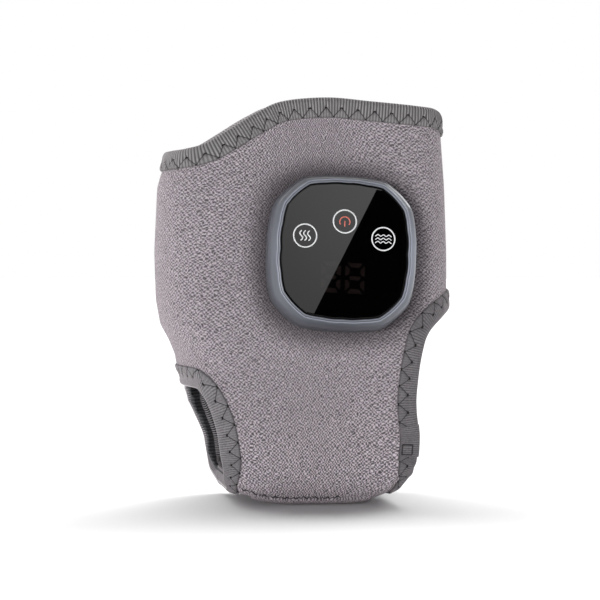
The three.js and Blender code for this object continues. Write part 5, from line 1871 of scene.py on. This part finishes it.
def case_rings():
    """The case's section from its foot, up its side, over two ridges, and down to the ledge inside.

    Each ring has its outline, its height, its painted highlight or painted shade, and how much darker it is painted
    above and below and lighter on the right.
    """
    inner = glass_outline(0.0016)
    outer = case_outline()

    def between(part):
        return inner + (outer - inner) * part

    side = smooth_line([(u * SIDE_SPAN, s * 10) for u, s in CASE_SIDE], 26)
    rings = []
    for up, part in side:
        height = CASE_FOOT + (CASE_TOP + 0.0002 - CASE_FOOT) * up / SIDE_SPAN
        part = min(part / 10, 1.0)
        if part < 0.14:
            break
        # painted shade at the side's foot, fading to a faint painted highlight at its top
        rings.append((between(part), height, -0.12 + 0.16 * (up / SIDE_SPAN) ** 3, 0.5))
    rings += [(glass_outline(grow), height, polish, 0.15) for grow, height, polish in RIDGES]
    hidden = [(glass_outline(-0.0017), 0.0134), (glass_outline(-0.0018), 0.0132), (glass_outline(-0.0018), 0.0120)]
    hidden += [(between(0.1), 0.0119), (between(0.42), 0.0108), (between(0.58), 0.0085), (between(0.6), 0.004)]
    hidden += [(between(0.58), 0.0008), (between(0.6), CASE_FOOT)]
    return rings + [(outline, height, 0, 0) for outline, height in hidden]


class WRAP_OT_module(bpy.types.Operator):
    """Module case with its crowned rim, and the black touch panel"""

    bl_idname = "ankle_wrap.module"
    bl_label = "Control module"

    def execute(self, context):
        look = Look()
        place, _ = module_place()
        # rim=True: the case gets painted highlights and painted shade from its map
        satin = moulded_finish("satin_case", look.case, 0.3, 2600, 0.00001, 0.03, rim=True)
        rings = case_rings()
        polish = [ring[2:] for ring in rings]
        case = ring_from_circle("module_case", [ring[:2] for ring in rings], satin, place, True, False, polish)
        # the mouth for the charging plug in the upper side of the case
        low, high = (np.array(corner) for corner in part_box("charging_socket"))
        clear_selection()
        bpy.ops.mesh.primitive_cube_add(size=1, location=(0, 0, 0))
        cutter = context.active_object
        cutter.scale = SOCKET_MOUTH
        bpy.ops.object.transform_apply(scale=True)
        apply_modifier(cutter, "BEVEL", width=SOCKET_CORNER, segments=6)
        socket = place.inverted() @ Vector(((low + high) / 2))
        set_coordinates(cutter, coordinates(cutter) + np.array([socket.x, CASE_HALF[1], socket.z]))
        cutter.data.transform(place)
        apply_modifier(case, "BOOLEAN", operation="DIFFERENCE", object=cutter, solver="EXACT")
        bpy.data.objects.remove(cutter)
        smooth_by_angle(case, CASE_CREASE)
        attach(case, "wrap")
        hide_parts("front_case")

        rings = [
            (glass_outline(-0.0007), GLASS_FOOT),
            (glass_outline(-0.0003), GLASS_FOOT + 0.0002),
            (glass_outline(-0.0003), GLASS_TOP - 0.00025),
            (glass_outline(-0.00034), GLASS_TOP - 0.00012),
            (glass_outline(-0.0004), GLASS_TOP - 0.00003),
            (glass_outline(-0.0005), GLASS_TOP),
            (glass_outline(-0.0009), GLASS_TOP),
        ]
        glass = ring_from_circle("touch_glass", rings, glass_finish("touch_glass", look), place, False, True)
        smooth_by_angle(glass, GLASS_CREASE)
        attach(glass, "wrap")
        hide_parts("touch_panel")
        return {"FINISHED"}


def stroke(bundle, line, width, low, high, closed, place):
    """A printed line of a width, as a thin raised band."""
    line = np.asarray(line, float)
    if closed:
        along = np.roll(line, -1, axis=0) - np.roll(line, 1, axis=0)
    else:
        along = np.gradient(line, axis=0)
    along /= np.linalg.norm(along, axis=1, keepdims=True)
    side = np.stack([-along[:, 1], along[:, 0]], axis=1) * width / 2
    count = len(line)
    half = np.full((count, 1), 1.0)
    if not closed:
        half[0] = half[-1] = 0.45
    left, right = line + side * half, line - side * half
    rows = [(left, low), (left, high), (right, high), (right, low)]
    points = np.concatenate([np.hstack([flat, np.full((count, 1), z)]) for flat, z in rows])
    faces = quads(4, count, ring_up=True, ring_across=closed, turned=True)
    if not closed:
        faces.append(tuple(row * count for row in range(4)))
        faces.append(tuple(row * count + count - 1 for row in range(4))[::-1])
    bundle.put(placed(points, place), faces)


def arc(x, y, radius, start, end, count):
    angles = np.radians(np.linspace(start, end, count))
    return np.stack([x + radius * np.cos(angles), y + radius * np.sin(angles)], axis=1)


def polygon(bundle, corners, low, high, place):
    """A flat printed shape with straight sides."""
    count = len(corners)
    points = [(x, y, z) for z in (low, high) for x, y in corners]
    faces = [tuple(range(count))[::-1], tuple(range(count, 2 * count))]
    faces += [(k, (k + 1) % count, count + (k + 1) % count, count + k) for k in range(count)]
    bundle.put(placed(points, place), faces)


def printed_finish(name, colour, roughness=0.35):
    finish = Finish(name, roughness=roughness)
    speck = finish.noise(2600, 2)
    finish.set(Base_Color=finish.mixed(speck, shade(colour, 0.96), shade(colour, 1.03)))
    return finish


class WRAP_OT_signs(bpy.types.Operator):
    """Signs and unlit digits on the touch panel"""

    bl_idname = "ankle_wrap.signs"
    bl_label = "Touch signs and digits"

    def execute(self, context):
        look = Look()
        place, _ = module_place()
        low, high = PRINT_LOW, PRINT_HIGH
        white, red = Bundle(), Bundle()
        radius = (look.ring - look.icon_line) / 2
        for x, y in (HEAT_SIGN, POWER_SIGN, SHAKE_SIGN):
            stroke(white, arc(x, y, radius, 0, 360, 97)[:-1], look.icon_line, low, high, True, place)
        tall = np.linspace(-0.0023, 0.0023, 36)
        for k in (-1, 0, 1):
            wave = -0.00066 * np.sin(tall / 0.0046 * 2 * math.pi * 1.1)
            line = np.stack([HEAT_SIGN[0] + k * 0.00175 + wave, HEAT_SIGN[1] + tall], axis=1)
            stroke(white, line, look.icon_line * 0.86, low, high, False, place)
        wide = np.linspace(-0.0037, 0.0037, 61)
        for k in (-1, 0, 1):
            zig = (np.abs(((wide / 0.00246 + 0.5) % 1) - 0.5) * 2 - 0.5) * 0.00095
            zig = np.convolve(np.pad(zig, 2, mode="edge"), [0.15, 0.2, 0.3, 0.2, 0.15], "valid")
            line = np.stack([SHAKE_SIGN[0] + wide, SHAKE_SIGN[1] + k * 0.00152 - zig], axis=1)
            stroke(white, line, look.icon_line * 0.66, low, high, False, place)
        x, y = POWER_SIGN
        round_it = arc(x, y - 0.0002, 0.00228, 215, -35, 40)
        stroke(red, round_it, look.icon_line * 0.84, low, high, False, place)
        bar = np.array([(x, y + down) for down in np.linspace(0.0002, -0.0024, 8)])
        stroke(red, bar, look.icon_line * 0.92, low, high, False, place)
        white.made("touch_signs", printed_finish("white_print", look.sign).material)
        red.made("power_sign", printed_finish("red_print", look.power).material)

        digits = Bundle()
        shapes = [DIGIT_BAR] + [DIGIT_END * (1, s) for s in (1, -1)]
        shapes += [DIGIT_SIDE * (s, k) for s in (1, -1) for k in (1, -1)]
        for middle in DIGITS_MIDDLES:
            for shape in shapes:
                polygon(digits, shape + (middle, DIGITS_HEIGHT), low, UNLIT_HIGH, place)
        finish = printed_finish("unlit_digits", look.digits, 0.01)
        piece = digits.made("display_digits", finish.material)
        piece.data.polygons.foreach_set("use_smooth", [False] * len(piece.data.polygons))
        recalculated(piece)
        return {"FINISHED"}


# ---------------------------------------------------------------- what lies inside
class WRAP_OT_inside(bpy.types.Operator):
    """Finishes of the parts that lie inside the module and between the layers"""

    bl_idname = "ankle_wrap.inside"
    bl_label = "Inner parts"

    def execute(self, context):
        film = Finish("carbon_film", roughness=0.55)
        weave = (film.axis(0) * (2 * math.pi / 0.003)).sine() * (film.axis(2) * (2 * math.pi / 0.003)).sine()
        film.set(Base_Color=film.mixed(weave * 0.5 + 0.5, (0.1, 0.1, 0.11), (0.2, 0.19, 0.19)),
                 Normal=film.bump(weave, 0.0001, 0.5))
        board = Finish("circuit_board", roughness=0.38)
        tracks = board.cells(420, feature="DISTANCE_TO_EDGE").part(0.03, 0.06)
        pads = board.cells(900).part(0.1, 0.14)
        tint = board.mixed(tracks, (0.22, 0.5, 0.3), (0.09, 0.3, 0.18))
        board.set(Base_Color=board.mixed(pads, (0.75, 0.68, 0.42), tint), Normal=board.bump(tracks, 0.00004, 0.5))
        steel = Finish("brushed_steel", roughness=0.32, metallic=1.0)
        brush = steel.noise(900, 2, 0.6, 0.0, steel.turned((1, 1, 12)))
        steel.set(Base_Color=steel.mixed(brush, (0.62, 0.62, 0.63), (0.78, 0.78, 0.79)), Roughness=brush * 0.2 + 0.22,
                  Normal=steel.bump(brush, 0.00002, 0.5))
        pouch = Finish("battery_pouch", roughness=0.34, metallic=0.6)
        crinkle = pouch.noise(160, 4, 0.6, 0.6)
        pouch.set(Base_Color=pouch.mixed(crinkle, (0.5, 0.52, 0.55), (0.68, 0.7, 0.73)),
                  Normal=pouch.bump(crinkle, 0.0003, 0.6))
        finishes = {
            "film": film.material,
            "board": board.material,
            "steel": steel.material,
            "pouch": pouch.material,
            "black": moulded_finish("black_plastic", (0.13, 0.13, 0.14), 0.45, 1500, 0.00003, 0.12),
            "ivory": moulded_finish("ivory_plastic", (0.86, 0.84, 0.77), 0.4, 1500, 0.00002, 0.04),
            "rubber": moulded_finish("black_rubber", (0.11, 0.11, 0.115), 0.85, 1900, 0.00005, 0.15),
            "red": moulded_finish("red_insulation", (0.62, 0.16, 0.13), 0.5, 2600, 0.00002, 0.1),
            "tungsten": moulded_finish("tungsten", (0.55, 0.54, 0.52), 0.38, 3000, 0.00002, 0.08, 1.0),
        }
        wanted = {
            "film": ("heating_film",),
            "board": ("control_board",),
            "steel": ("case_screw", "plate_screw", "touch_spring", "motor_shaft", "charging_socket"),
            "pouch": ("battery_pack",),
            "ivory": ("heater_connector",),
            "rubber": ("panel_gasket", "battery_pad", "motor_cradle"),
            "red": ("heater_lead",),
            "tungsten": ("eccentric_weight",),
        }
        for name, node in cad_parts.items():
            kind = next((k for k, starts in wanted.items() if name.startswith(starts)), "black")
            if name.startswith("vibration_motor"):
                kind = "steel"
            if not node.data.materials:
                node.data.materials.append(None)
            for slot in node.material_slots:
                slot.material = finishes[kind]
        return {"FINISHED"}


# ---------------------------------------------------------------- panel and start
STEPS = (
    WRAP_OT_stage,
    WRAP_OT_plush,
    WRAP_OT_lining,
    WRAP_OT_tapes,
    WRAP_OT_stitches,
    WRAP_OT_sole,
    WRAP_OT_crown,
    WRAP_OT_flap,
    WRAP_OT_module,
    WRAP_OT_signs,
    WRAP_OT_inside,
)


class WRAP_PT_panel(bpy.types.Panel):
    """Sizes, colours and steps of the ankle wrap"""

    bl_idname = "WRAP_PT_panel"
    bl_label = "Heated ankle wrap"
    bl_space_type = "VIEW_3D"
    bl_region_type = "UI"
    bl_category = "Ankle wrap"

    def draw(self, context):
        layout = self.layout
        for group in (context.scene.wrap_sizes, context.scene.wrap_colours):
            box = layout.box()
            for key in group.__annotations__:
                box.prop(group, key)
        for step in STEPS:
            layout.operator(step.bl_idname)


CLASSES = (WrapSizes, WrapColours, *STEPS, WRAP_PT_panel)


def register():
    for kind in CLASSES:
        bpy.utils.register_class(kind)
    bpy.types.Scene.wrap_sizes = bpy.props.PointerProperty(type=WrapSizes)
    bpy.types.Scene.wrap_colours = bpy.props.PointerProperty(type=WrapColours)


def unregister():
    del bpy.types.Scene.wrap_colours
    del bpy.types.Scene.wrap_sizes
    for kind in reversed(CLASSES):
        bpy.utils.unregister_class(kind)


def main():
    register()
    bpy.ops.ankle_wrap.stage()
    bpy.ops.ankle_wrap.plush()
    bpy.ops.ankle_wrap.lining()
    bpy.ops.ankle_wrap.tapes()
    bpy.ops.ankle_wrap.stitches()
    bpy.ops.ankle_wrap.sole()
    bpy.ops.ankle_wrap.crown()
    bpy.ops.ankle_wrap.flap()
    bpy.ops.ankle_wrap.module()
    bpy.ops.ankle_wrap.signs()
    bpy.ops.ankle_wrap.inside()
    clear_selection()


if __name__ == "__main__":
    main()
